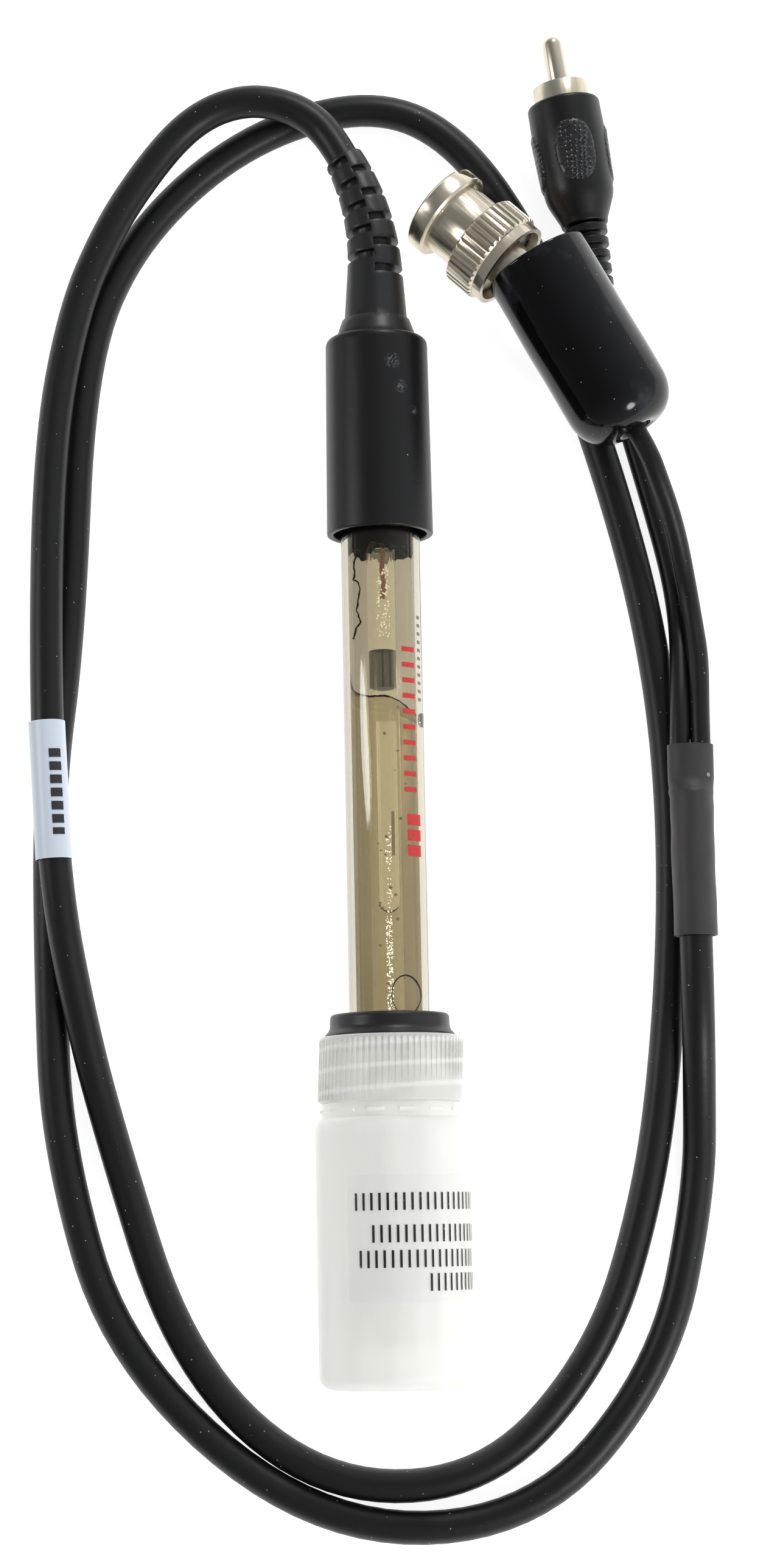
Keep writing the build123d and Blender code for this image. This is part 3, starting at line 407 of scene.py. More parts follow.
# %% Surface grain
WAVE_SCALE = 0.12
surface_grain, place, grain_in, grain_out = shader_group(
    "Surface Grain", {"Scale": 900.0, "Wave": 0.4}, "Height"
)
fine = noise_node(surface_grain, place, grain_in["Scale"], 4.0)
wide_scale = math_node(surface_grain, "MULTIPLY", grain_in["Scale"], WAVE_SCALE)
wide = noise_node(surface_grain, place, wide_scale, 2.0)
wave = math_node(surface_grain, "MULTIPLY", wide, grain_in["Wave"])
surface_grain.links.new(math_node(surface_grain, "ADD", fine, wave), grain_out["Height"])
print("grain group", len(surface_grain.nodes), "nodes")

# %% [markdown]
# ## Materials
#
# Each real surface has a colour, a gloss, a grain, and dust or rubbing. One maker builds them all
# on the Principled shader, so that every material is read the same way. A colour is mixed towards
# a paler one where dust or scuffs are. A material's name is its slot's name in plain words.

# %% Material maker
class Surface:
    """A material with a Principled shader whose effects are added one by one."""

    made = []

    def __init__(self, name, colour, roughness, metallic=0.0, **inputs):
        self.slot = name.replace(" ", "_")
        self.material = bpy.data.materials.new(name)
        self.material.use_nodes = True
        self.tree = self.material.node_tree
        self.shader = self.tree.nodes["Principled BSDF"]
        self.shader.inputs["Base Color"].default_value = (*colour, 1.0)
        self.shader.inputs["Roughness"].default_value = roughness
        self.shader.inputs["Metallic"].default_value = metallic
        for key, value in inputs.items():
            self.shader.inputs[key.replace("_", " ")].default_value = value
        self.place = self.add("ShaderNodeTexCoord").outputs["Object"]
        Surface.made.append(self)

    def add(self, kind, inputs=None, **settings):
        return add_node(self.tree, kind, inputs, **settings)

    def math(self, operation, one, two, clamp=False):
        return math_node(self.tree, operation, one, two, clamp)

    def group(self, tree, **inputs):
        """Use one of the shader groups and give back what it makes."""
        node = self.add("ShaderNodeGroup")
        node.node_tree = tree
        for key, value in inputs.items():
            node.inputs[key].default_value = value
        return node.outputs[0]

    def ramp(self, factor, low, high, first, last):
        """Map a factor from low..high to first..last."""
        inputs = {"Value": factor, "From Min": low, "From Max": high}
        inputs |= {"To Min": first, "To Max": last}
        return self.add("ShaderNodeMapRange", inputs).outputs["Result"]

    def current(self, name):
        """What an input of the shader holds now: a socket or a value."""
        socket = self.shader.inputs[name]
        return socket.links[0].from_socket if socket.is_linked else socket.default_value

    def wire(self, socket, name):
        """Link a socket to an input of the shader."""
        self.tree.links.new(socket, self.shader.inputs[name])
        return self

    def glow(self, colour, strength):
        """A little light of its own. Except on the floor, it is painted light, as of a thing lit
        through.
        """
        self.shader.inputs["Emission Color"].default_value = (*colour, 1.0)
        self.shader.inputs["Emission Strength"].default_value = strength
        return self

    def tint(self, mask, colour, strength=1.0):
        """Mix the base colour towards another where the mask is."""
        factor = self.math("MULTIPLY", mask, strength, clamp=True)
        inputs = {0: factor, 6: self.current("Base Color"), 7: (*colour, 1.0)}
        mixed = self.add("ShaderNodeMix", inputs, data_type="RGBA").outputs[2]
        return self.wire(mixed, "Base Color")

    def rough(self, mask, amount):
        """Add to the roughness where the mask is."""
        extra = self.math("MULTIPLY", mask, amount)
        total = self.math("ADD", self.current("Roughness"), extra, clamp=True)
        return self.wire(total, "Roughness")

    def bump(self, height, distance):
        """Lay one more height over the surface; the distance is in millimetres."""
        inputs = {"Height": height, "Distance": distance * MM, "Strength": 1.0}
        node = self.add("ShaderNodeBump", inputs)
        if self.shader.inputs["Normal"].is_linked:
            self.tree.links.new(self.current("Normal"), node.inputs["Normal"])
        return self.wire(node.outputs["Normal"], "Normal")

    def dusty(self, scale, amount, size, colour=(0.45, 0.44, 0.42)):
        mask = self.group(dust_specks, Scale=scale, Amount=amount, Size=size)
        return self.tint(mask, colour).rough(mask, 0.3)

    def scuffed(self, scale, edge, colour, strength, rougher=0.15):
        mask = self.group(soft_scuffs, Scale=scale, Edge=edge, Streak=6.0)
        return self.tint(mask, colour, strength).rough(mask, rougher)

    def grained(self, scale, distance, wave=0.4):
        return self.bump(self.group(surface_grain, Scale=scale, Wave=wave), distance)

    def mottled(self, place, scale, low, high, colour):
        """Cloudy patches of another colour, half strong."""
        cloud = noise_node(self.tree, place, scale, 3.0)
        return self.tint(self.ramp(cloud, low, high, 0.0, 1.0), colour, 0.5)

    def marked(self, place, reach, colour, strength):
        """A broken rub mark round a place in millimetres."""
        inputs = {0: self.place, 1: Vector(place) * MM}
        away = self.add("ShaderNodeVectorMath", inputs, operation="DISTANCE").outputs["Value"]
        near = self.ramp(away, reach * 0.3 * MM, reach * MM, 1.0, 0.0)
        broken = self.ramp(noise_node(self.tree, self.place, 2600.0, 4.0), 0.46, 0.58, 0.0, 1.0)
        return self.tint(self.math("MULTIPLY", near, broken), colour, strength)


# %% [markdown]
# ### Black rubber and plastics
#
# Black is never black in a photograph. The real pieces differ in how they throw the light back,
# so their gloss sets them apart here too: the cords are satin, the dipped boot is wet-looking,
# the heat-shrink sleeve is almost chalky.

# %% Black materials
cord_jacket = Surface("cord jacket", (0.005, 0.005, 0.0055), 0.42, Specular_IOR_Level=0.36)
cord_jacket.grained(700, 0.03).dusty(950, 0.6, 0.11, (0.32, 0.32, 0.31))
boot_vinyl = Surface("boot vinyl", (0.003, 0.003, 0.0035), 0.12, Specular_IOR_Level=0.28)
boot_vinyl.grained(160, 0.05, 1.0).dusty(1000, 0.6, 0.1, (0.3, 0.3, 0.3))
boot_vinyl.scuffed(120, 0.6, (0.05, 0.052, 0.06), 0.8, rougher=0.2)
black_moulding = Surface("black moulding", (0.0045, 0.0045, 0.005), 0.38, Specular_IOR_Level=0.36)
black_moulding.grained(900, 0.02).scuffed(190, 0.69, (0.2, 0.2, 0.2), 0.7).dusty(420, 0.07, 0.2)
black_rubber = Surface("black rubber", (0.008, 0.008, 0.009), 0.4)
black_rubber.grained(500, 0.04).dusty(300, 0.04, 0.2)
heat_shrink = Surface("heat shrink", (0.036, 0.033, 0.032), 0.52, Specular_IOR_Level=0.5)
heat_shrink.grained(800, 0.03).dusty(350, 0.06, 0.2, (0.3, 0.28, 0.26))
potting = Surface("potting", (0.018, 0.017, 0.016), 0.5).grained(400, 0.05)
print("black materials made")

# %% [markdown]
# ### Metals, ceramics, wires and paper
#
# The plugs' metal is nickel plate, warm and a little dull from handling. A metal's colour is that
# of its reflections, so it is set by the base colour with Metallic at 1. The rest are plain
# surfaces that hardly show, and a grain is enough for them.

# %% Hard materials
nickel = Surface("nickel", (0.64, 0.58, 0.47), 0.29, 1.0)
nickel.scuffed(200, 0.5, (0.5, 0.43, 0.3), 0.6).grained(1500, 0.004)
pin_gold = Surface("pin gold", (0.85, 0.62, 0.3), 0.22, 1.0)
pin_gold.scuffed(300, 0.55, (0.6, 0.4, 0.2), 0.5)
Surface("white insulator", (0.8, 0.79, 0.76), 0.4).grained(900, 0.01)
Surface("ceramic", (0.82, 0.8, 0.74), 0.7).grained(1500, 0.02)
Surface("sensor steel", (0.55, 0.54, 0.52), 0.3, 1.0).grained(1200, 0.005)
copper_wire = Surface("copper wire", (0.42, 0.12, 0.06), 0.35).grained(1500, 0.01)
brown_wire = Surface("brown wire", (0.13, 0.05, 0.025), 0.4).grained(1500, 0.01)
label_paper = Surface("label paper", (0.66, 0.73, 0.82), 0.35).grained(700, 0.02)
print("hard materials made")

# %% [markdown]
# ### See-through plastics
#
# The smoked shaft, the gel and the glass let light pass and bend it, and the bottle and its cap are
# milky. Transmission does both: a low IOR keeps what is inside near its real place, and a partial
# weight gives the milkiness without a slow volume. The bottle, the cap and the stem glass also glow
# a little: painted light, as of light passing through them. The clear film is too thin to bend
# light, so alpha is enough for it.

# %% See-through materials
THREAD_PITCH = 3.2
# The bottle's glow is painted light, as of the floor's light passing through its wall.
bottle_plastic = Surface(
    "storage bottle", (0.9, 0.9, 0.855), 0.45, Transmission_Weight=0.4, IOR=1.3
).glow((1.0, 1.0, 0.99), 0.13)
along_bottle = bottle_plastic.add(
    "ShaderNodeMapping", {"Vector": bottle_plastic.place, "Scale": (1.0, 0.08, 1.0)}
).outputs["Vector"]
bottle_plastic.mottled(along_bottle, 260.0, 0.4, 0.7, (0.72, 0.72, 0.7)).grained(250, 0.05)
# The cap's glow is painted light, as of light passing through its wall.
cap_plastic = Surface(
    "cap plastic", (0.84, 0.84, 0.80), 0.3, Transmission_Weight=0.45, IOR=1.3
).glow((1.0, 1.0, 0.97), 0.08)
cap_plastic.mottled(cap_plastic.place, 120.0, 0.45, 0.65, (0.6, 0.6, 0.55))
clear_film = Surface("clear film", (0.9, 0.9, 0.9), 0.12, Alpha=0.1)
Surface("smoked plastic", (0.55, 0.51, 0.42), 0.03, Transmission_Weight=1.0, IOR=1.3)
gel_fill = Surface("gel", (0.72, 0.67, 0.54), 0.14, Transmission_Weight=1.0, IOR=1.12)
# The stem glass glows a little: painted light, as of light passing through it.
stem_glass = Surface("stem glass", (0.95, 0.94, 0.88), 0.03, Transmission_Weight=1.0, IOR=1.2)
stem_glass.glow((1.0, 0.95, 0.8), 0.06)
print("see-through materials made")

# %% [markdown]
# The cap's thread is inside its wall and shines through as bright slanting bands. A hidden mesh
# would hardly show through the milky wall, so the bands are a rule: the place along the cap, moved
# by the angle round it, repeats once in each turn of the thread.

# %% Bands in the cap
cap_place = cap_plastic.add("ShaderNodeSeparateXYZ", {"Vector": cap_plastic.place}).outputs
cap_level = cap_plastic.math("SUBTRACT", cap_place["Z"], AXIS_HEIGHT * MM)
cap_angle = cap_plastic.math("ARCTAN2", cap_level, cap_place["X"])
cap_rise = cap_plastic.math("MULTIPLY", cap_angle, THREAD_PITCH * MM / math.tau)
cap_climb = cap_plastic.math("ADD", cap_place["Y"], cap_rise)
cap_band = cap_plastic.math("PINGPONG", cap_climb, THREAD_PITCH / 2 * MM)
cap_plastic.tint(cap_plastic.ramp(cap_band, 1.1 * MM, 1.5 * MM, 0.0, 1.0), (1.0, 1.0, 0.98), 0.75)
cap_plastic.grained(300, 0.03)
print("cap bands made")

# %% [markdown]
# Some of the CAD's own meshes stay in view, such as the shaft tube and the plug's pin. They only
# need better materials, which are found by the name of the slot that the CAD gave each of them.

# %% Materials of the CAD nodes
slot_surfaces = {surface.slot: surface for surface in Surface.made}
node_slots = {name: node.material_slots[0].material.name for name, node in nodes.items()}
for name, node in nodes.items():
    for material_slot in node.material_slots:
        material_slot.material = slot_surfaces[node_slots[name]].material
print("CAD nodes dressed:", len(nodes))

# %% [markdown]
# ## Pieces that keep the CAD's shape
#
# Small moulded and machined pieces keep the CAD's shape but get what a CAD model leaves out:
# edges that are a little round, because no real edge is sharp. The Bevel modifier finds them by
# angle, which is quicker than drawing each piece again. The copy's doubled points are welded
# first, so that the modifier sees whole edges.

# %% Rounded copies
def rounded_copy(name, width):
    """A copy of a CAD node with bevelled edges; the width is in millimetres."""
    piece = nodes[name].copy()
    piece.data = nodes[name].data.copy()
    piece.name = name + "_rounded"
    for key in list(piece.keys()):
        del piece[key]
    piece.parent = None
    bpy.context.scene.collection.objects.link(piece)
    weld = piece.modifiers.new("weld", "WELD")
    weld.merge_threshold = 0.001 * MM
    bevel = piece.modifiers.new("bevel", "BEVEL")
    bevel.width = width * MM
    bevel.segments = 2
    bevel.limit_method = "ANGLE"
    bevel.angle_limit = math.radians(32)
    bevel.harden_normals = True
    mesh = worked_out(piece)
    piece.modifiers.clear()
    piece.data = mesh
    slot = node_slots[name]
    return seat(piece, slot_surfaces[slot], nodes[name]["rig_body"], slot, name)


edge_widths = {"strain_relief": 0.18, "plug_body": 0.08, "retaining_ring": 0.08}
edge_widths |= {"cinch_pin": 0.08, "cinch_shell": 0.06}
for name, width in edge_widths.items():
    rounded_copy(name, width)

# %% [markdown]
# ## Rings and rows of small parts
#
# The ribs of the cap and the notches under it are one bar repeated round an axis. An Array
# modifier could repeat it, but a Geometry Nodes group keeps the rule in one place: a row of points
# is bent to a ring by sine and cosine of each point's number, and a bar is set on each point and
# turned to face outward.

# %% Geometry group helpers
LENGTHS = {"Radius", "Bar", "Centre", "Pitch", "Ridge", "Box", "Smallest", "Largest"}


def geometry_node(tree, kind, **inputs):
    """The first output of a new geometry node; _ stands for a space in an input's name."""
    inputs = {label.replace("_", " "): value for label, value in inputs.items()}
    return add_node(tree, "GeometryNode" + kind, inputs).outputs[0]


def geometry_group(name, inputs):
    """A geometry group with a geometry input and output and the named inputs of these kinds."""
    tree = bpy.data.node_groups.new(name, "GeometryNodeTree")
    for label, kind in {"Geometry": "Geometry", **inputs, "Material": "Material"}.items():
        tree.interface.new_socket(label, in_out="INPUT", socket_type="NodeSocket" + kind)
    tree.interface.new_socket("Geometry", in_out="OUTPUT", socket_type="NodeSocketGeometry")
    return tree, tree.nodes.new("NodeGroupInput").outputs


def end_group(tree, made):
    """Join what a group made to the mesh it was given, make it real and give it its material."""
    given = tree.nodes["Group Input"].outputs
    joined = add_node(tree, "GeometryNodeJoinGeometry")
    for geometry in (given["Geometry"], made):
        tree.links.new(geometry, joined.inputs[0])
    real = geometry_node(tree, "RealizeInstances", Geometry=joined.outputs[0])
    dressed = geometry_node(tree, "SetMaterial", Geometry=real, Material=given["Material"])
    tree.links.new(dressed, tree.nodes.new("NodeGroupOutput").inputs[0])
    print(tree.name, "group", len(tree.nodes), "nodes")


def grow(piece, tree, surface, **values):
    """Run a geometry group on a piece and keep the mesh that it makes; lengths in millimetres."""
    values["Material"] = surface.material
    modifier = piece.modifiers.new(tree.name, "NODES")
    modifier.node_group = tree
    for item in tree.interface.items_tree:
        if item.in_out == "INPUT" and item.name in values:
            value = values[item.name]
            value = Vector(value) if isinstance(value, tuple) else value
            modifier[item.identifier] = value * MM if item.name in LENGTHS else value
    mesh = worked_out(piece)
    piece.modifiers.remove(modifier)
    piece.data = mesh
    print(tree.name, "made", len(mesh.polygons), "faces")


# %% Bars round an axis
bars_round, bars_in = geometry_group(
    "Bars Round an Axis",
    {"Count": "Int", "Radius": "Float", "Taper": "Float", "Bar": "Vector", "Centre": "Vector"},
)
points = geometry_node(bars_round, "Points", Count=bars_in["Count"])
number = geometry_node(bars_round, "InputIndex")
share = math_node(bars_round, "DIVIDE", number, bars_in["Count"])
angle = math_node(bars_round, "MULTIPLY", share, math.tau)
across, upward = [
    math_node(bars_round, "MULTIPLY", math_node(bars_round, wave, angle), bars_in["Radius"])
    for wave in ("COSINE", "SINE")
]
on_ring = add_node(bars_round, "ShaderNodeCombineXYZ", {"X": across, "Z": upward}).outputs[0]
ring = geometry_node(bars_round, "SetPosition", Geometry=points, Position=on_ring)
bar = geometry_node(
    bars_round, "MeshCube", Size=bars_in["Bar"], Vertices_X=2, Vertices_Y=2, Vertices_Z=2
)
inputs = {"Y": math_node(bars_round, "MULTIPLY", angle, -1.0), "Z": bars_in["Taper"]}
facing = add_node(bars_round, "ShaderNodeCombineXYZ", inputs).outputs[0]
bars = geometry_node(bars_round, "InstanceOnPoints", Points=ring, Instance=bar, Rotation=facing)
laid = geometry_node(bars_round, "Transform", Geometry=bars, Translation=bars_in["Centre"])
end_group(bars_round, laid)

# %% [markdown]
# ## Storage bottle
#
# The bottle is blown from milky polyethylene, and its neck carries a round thread. The thread
# could be modelled by the Screw modifier; here a spiral curve is swept with a small circle, which
# takes its pitch and its turns as plain inputs.

# %% Thread group
thread, thread_in = geometry_group(
    "Thread",
    {"Turns": "Float", "Radius": "Float", "Pitch": "Float", "Ridge": "Float", "Centre": "Vector"},
)
helix = geometry_node(
    thread,
    "CurveSpiral",
    Resolution=48,
    Rotations=thread_in["Turns"],
    Start_Radius=thread_in["Radius"],
    End_Radius=thread_in["Radius"],
    Height=math_node(thread, "MULTIPLY", thread_in["Turns"], thread_in["Pitch"]),
)
ridge = geometry_node(thread, "CurvePrimitiveCircle", Resolution=10, Radius=thread_in["Ridge"])
swept = geometry_node(thread, "CurveToMesh", Curve=helix, Profile_Curve=ridge, Fill_Caps=True)
lying = (math.radians(-90), 0.0, 0.0)
laid = geometry_node(
    thread, "Transform", Geometry=swept, Translation=thread_in["Centre"], Rotation=lying
)
end_group(thread, geometry_node(thread, "SetShadeSmooth", Geometry=laid))

# %% [markdown]
# A Solidify modifier could give a single skin a wall, but the neck is thicker than the body. So
# the bottle is turned from one profile that runs up the outside and down the inside, and light
# passes through a real wall. A row of short notches stands where the mould left them, under the
# cap.

# %% Bottle
BASE, SHOULDER, CAP_MOUTH, CAP_TOP, GASKET_TOP = -94.088, -54.788, -52.488, -42.688, -39.388
NECK_TOP, NECK, COLLAR, INSIDE = -45.288, 9.4, 10.3, 10.35
bottle = turned(
    "bottle_shape",
    electrode,
    [(0.0, BASE + 0.5), (7.4, BASE + 0.5, 0.6), (8.6, BASE, 0.2)]
    + arc(9.15, BASE + 2.2, 2.2, 2.2, -90, 0, 10)
    + arc(COLLAR, SHOULDER - 2.2, 1.05, 2.2, 0, 90, 10)
    + [
        (COLLAR, CAP_MOUTH - 0.02, 0.3), (NECK, CAP_MOUTH - 0.02, 0.3), (NECK, NECK_TOP, 0.3),
        (8.3, NECK_TOP, 0.3), (8.3, SHOULDER - 0.4, 0.8), (INSIDE, SHOULDER - 1.6, 2.0),
        (INSIDE, BASE + 1.2, 1.8), (0.0, BASE + 1.7),
    ],
    rounding=0.3,
    closed=False,
    sides=160,
    steps=6,
)
thread_centre = (0, -52.0, AXIS_HEIGHT)
grow(
    bottle, thread, bottle_plastic,
    Turns=2.2, Radius=NECK, Pitch=THREAD_PITCH, Ridge=0.28, Centre=thread_centre,
)
grow(
    bottle, bars_round, bottle_plastic,
    Count=14, Radius=COLLAR, Taper=0.0, Bar=(0.5, 0.45, 2.4), Centre=(0, -53.7, AXIS_HEIGHT),
)
seat(bottle, bottle_plastic, "bottle", "storage_bottle", "bottle")

# %% [markdown]
# The cap is clearer than the bottle. 72 ribs for the fingers run along it, each half sunk in the
# wall and leaning with its taper. They are real bars and not a bump, since they show in its
# outline.

# %% Cap
CAP_BORE = 9.75
cap = turned(
    "cap_shape",
    electrode,
    [
        (7.66, CAP_TOP, 0.2), (10.4, CAP_TOP, 0.5), (10.75, CAP_MOUTH, 0.3),
        (CAP_BORE, CAP_MOUTH, 0.3), (CAP_BORE, CAP_TOP - 1.2, 0.4), (7.66, CAP_TOP - 1.2, 0.2),
    ],
    sides=160,
)
grow(
    cap, bars_round, cap_plastic,
    Count=72, Radius=10.5, Taper=math.radians(-2.4), Bar=(0.42, 8.9, 0.42),
    Centre=(0, -47.7, AXIS_HEIGHT),
)
seat(cap, cap_plastic, "cap", "cap_plastic", "bottle_cap")

# %% [markdown]
# The gasket is soft black rubber that grips the shaft and seals the bottle. Its flange is round on
# top and flares to a thin lip on the cap. It is turned in one profile, waist and all, because it
# is one moulding.

# %% Gasket
gasket = turned(
    "gasket_shape",
    electrode,
    [
        (6.02, GASKET_TOP - 0.35, 0.2), (6.5, GASKET_TOP, 0.3), (8.85, GASKET_TOP, 0.7),
        (8.9, GASKET_TOP - 2.2, 0.6), (9.62, CAP_TOP + 0.25, 0.15),
        (9.62, CAP_TOP + 0.02, 0.08), (7.6, CAP_TOP + 0.02, 0.08), (7.6, CAP_TOP - 1.2, 0.1),
        (9.0, CAP_TOP - 1.25, 0.15), (9.0, NECK_TOP + 0.02, 0.15),
        (6.02, NECK_TOP + 0.02, 0.15),
    ],
    rounding=0.15,
    sides=128,
)
seat(gasket, black_rubber, "seal", "black_rubber", "gasket")

# %% [markdown]
# ## Prints
#
# The real things carry lettering. Here its place holds rows of plain dashes, which are no letters
# of any kind. They could be small meshes, but a rule of the sheet's own UV coordinates, in
# millimetres, makes as many as are wanted. They show by alpha, with nothing between them.

# %% Dash print group
dash_print, place, dash_in, dash_out = shader_group(
    "Dash Print",
    {"Row Pitch": 3.6, "Row Height": 2.4, "Dash Pitch": 1.3, "Dash Width": 0.4},
    "Mask",
)
inputs = {"Vector": place.node.outputs["UV"]}
flat_place = add_node(dash_print, "ShaderNodeSeparateXYZ", inputs).outputs
row_place = math_node(dash_print, "MODULO", flat_place["Y"], dash_in["Row Pitch"])
in_row = math_node(dash_print, "LESS_THAN", row_place, dash_in["Row Height"])
dash_place = math_node(dash_print, "MODULO", flat_place["X"], dash_in["Dash Pitch"])
in_dash = math_node(dash_print, "LESS_THAN", dash_place, dash_in["Dash Width"])
dash_print.links.new(math_node(dash_print, "MULTIPLY", in_row, in_dash), dash_out["Mask"])
print("dash group", len(dash_print.nodes), "nodes")


def print_surface(name, colour, rows, dashes):
    """Ink on nothing: it shows only where the dashes are. Rows and dashes: pitch and size."""
    surface = Surface(name, colour, 0.4)
    sizes = {"Row Pitch": rows[0], "Row Height": rows[1]}
    sizes |= {"Dash Pitch": dashes[0], "Dash Width": dashes[1]}
    worn = surface.ramp(noise_node(surface.tree, surface.place, 1500.0, 2.0), 0.22, 0.4, 0.2, 1.0)
    mask = surface.group(dash_print, **sizes)
    return surface.wire(surface.math("MULTIPLY", mask, worn), "Alpha")


# %% [markdown]
# The film, and each row of print, is a thin sheet bent round a body. A flat sheet with a Simple
# Deform modifier would do it too; placing its points by angle and length gives its UVs as well.

# %% Sheets on round bodies
def wrapped_sheet(name, axle, radius, thickness, angles, ends, steps=40):
    """A thin sheet round part of a body, with UVs in millimetres: x round it and y along it."""
    sheet_maker = bmesh.new()
    width = math.radians(abs(angles[1] - angles[0])) * radius
    points, spread = {}, []
    for level in range(2):
        for row in range(2):
            for step in range(steps + 1):
                angle = angles[0] + (angles[1] - angles[0]) * step / steps
                place = axle.at(radius + thickness * level, angle, ends[row])
                points[level, row, step] = sheet_maker.verts.new(place * MM)
                spread.append((width * step / steps, abs(ends[1] - ends[0]) * row))

    def face(*corners):
        sheet_maker.faces.new([points[corner] for corner in corners])

    for step in range(steps):
        for number in range(2):
            for near, far in (((number, 0), (number, 1)), ((0, number), (1, number))):
                face((*near, step), (*near, step + 1), (*far, step + 1), (*far, step))
    for step in (0, steps):
        face((0, 0, step), (0, 1, step), (1, 1, step), (1, 0, step))
    piece = finish_mesh(name, sheet_maker)
    uv_layer = piece.data.uv_layers.new(name="UVMap")
    for corner in piece.data.loops:
        uv_layer.data[corner.index].uv = spread[corner.vertex_index]
    piece.data.set_sharp_from_angle(angle=SHARP_ANGLE)
    return piece


# %% [markdown]
# A clear film with four rows of black print is stuck on the bottle. The film is a sheet of its
# own, since its edge catches the light. Each row is a sheet a hair above it, because the rows
# start at different places.

# %% Film and its print
FILM_RADIUS, PRINT_RADIUS, PRINT_SKIN = 11.38, 11.49, 0.01
film = wrapped_sheet("film_shape", electrode, FILM_RADIUS, 0.08, (126, -35), (-81.4, -63.2))
seat(film, clear_film, "bottle", "clear_film", "bottle_film")
black_print = print_surface("black print", (0.01, 0.01, 0.01), rows=(9.0, 9.0), dashes=(1.2, 0.36))
print_rows = ((119, -68.3), (106, -72.9), (116, -76.5), (63.5, -79.9))
for number, (start, along) in enumerate(print_rows):
    name, ends = f"film_print_{number + 1}", (along, along + 2.5)
    row_print = wrapped_sheet(name, electrode, PRINT_RADIUS, PRINT_SKIN, (start, -8), ends)
    seat(row_print, black_print, "bottle", "clear_film")

# %% [markdown]
# ## Head
#
# The head is a moulded black sleeve, with a wall left free round the shaft, so that a shadow gap
# shows where the shaft goes in. It is turned with that gap in the profile. Handling has left three
# pale rub marks on it. They are placed one by one, because a noise wouldn't put them there.

# %% Head
RIM, HEAD_TOP, SOCKET = 33.112, 63.612, 6.02
head = turned(
    "head_shape",
    electrode,
    [
        (0.0, HEAD_TOP), (5.0, HEAD_TOP, 0.2), (7.75, HEAD_TOP, 2.0), (8.05, RIM, 0.35),
        (7.05, RIM, 0.3), (6.9, RIM + 3.0, 0.2), (SOCKET, RIM + 3.0, 0.1),
        (SOCKET, RIM + 6.02, 0.1), (0.0, RIM + 6.02),
    ],
    closed=False,
    sides=160,
    steps=8,
)
head_plastic = Surface("head plastic", (0.0045, 0.0045, 0.005), 0.38, Specular_IOR_Level=0.36)
head_plastic.grained(900, 0.02).dusty(700, 0.25, 0.1)
rub_marks = (((2.36, 58.4, 18.9), 1.4), ((3.57, 54.5, 18.4), 1.2), ((5.43, 51.1, 17.1), 0.8))
for mark_place, reach in rub_marks:
    head_plastic.marked(mark_place, reach, (0.13, 0.13, 0.14), 0.8)
seat(head, head_plastic, "electrode", "black_moulding", "head")

# %% [markdown]
# The potting under the head is poured resin. It crept down the glass and the tube in rags. A
# Displace modifier could tear its lower face; here noise moves only that face's points, so that
# the upper one stays flat in the head.

# %% Potting
POTTING_END, POTTING_TOP, STEM_HOLE, TUBE_BORE = RIM - 2.4, RIM + 5.9, 2.22, 4.95
potting_piece = turned(
    "potting_shape",
    electrode,
    [
        (STEM_HOLE, POTTING_END), (3.0, POTTING_END + 0.3), (4.2, POTTING_END + 0.3),
        (TUBE_BORE, POTTING_END), (TUBE_BORE, POTTING_TOP), (STEM_HOLE, POTTING_TOP),
    ],
    rounding=0.1,
    steps=2,
)
for vertex in potting_piece.data.vertices:
    place = vertex.co * 1000
    if place.y < POTTING_END + 1:
        angle = math.atan2(place.z - AXIS_HEIGHT, place.x)
        spot = Vector((math.cos(angle) * 1.8, math.sin(angle) * 1.8, place.x * 0.3))
        vertex.co.y += (noise.fractal(spot, 0.6, 2.0, 4) * 1.3 - 0.4) * MM
seat(potting_piece, potting, "electrode", "potting", "potting")

# %% [markdown]
# ## Gel
#
# The gel fills the shaft up to a slanting, torn surface. It could be cut with a Boolean, but its
# top is simple to build: a disc of rings whose height is a rule of the place across the shaft,
# read between a few heights. A second disc is its bottom, and one more ring of faces its side.

# %% Gel
GEL_RADIUS, GEL_BOTTOM, GEL_RINGS, GEL_SIDES = 4.96, -76.8, 8, 96
torn_edge = [(-5.1, 13.4), (-4.5, 9.4), (-3.6, 8.3), (-2.4, 7.7), (0.3, 7.66), (1.8, 7.2)]
torn_edge += [(3.6, 5.85), (5.1, 4.7)]


def between(table, value):
    """Read a table of (place, height) pairs between its entries."""
    for (low, first), (high, last) in zip(table, table[1:]):
        if value <= high:
            share = max(0.0, (value - low) / (high - low))
            return first + (last - first) * share
    return table[-1][1]


def gel_top(x, z):
    """The torn surface's height: lower at the back, and a little uneven."""
    return between(torn_edge, x) - 0.5 * (1 - z / 5) + 0.15 * noise.noise(Vector((x * 1.2, z, 0)))


gel_maker = bmesh.new()
discs = []
for is_top in (False, True):
    disc = []
    for ring_number in range(GEL_RINGS + 1):
        radius = GEL_RADIUS * ring_number / GEL_RINGS
        ring = []
        for number in range(GEL_SIDES if ring_number else 1):
            a = math.tau * number / GEL_SIDES
            x, z = radius * math.cos(a), radius * math.sin(a)
            y = gel_top(x, z) if is_top else GEL_BOTTOM
            ring.append(gel_maker.verts.new(Vector((x, y, AXIS_HEIGHT + z)) * MM))
        disc.append(ring)
    bridge(gel_maker, disc)
    discs.append(disc)
bridge(gel_maker, [discs[0][-1], discs[1][-1]])
gel_piece = finish_mesh("gel_shape", gel_maker)
gel_piece.data.set_sharp_from_angle(angle=SHARP_ANGLE)
seat(gel_piece, gel_fill, "electrode", "gel", "gel")
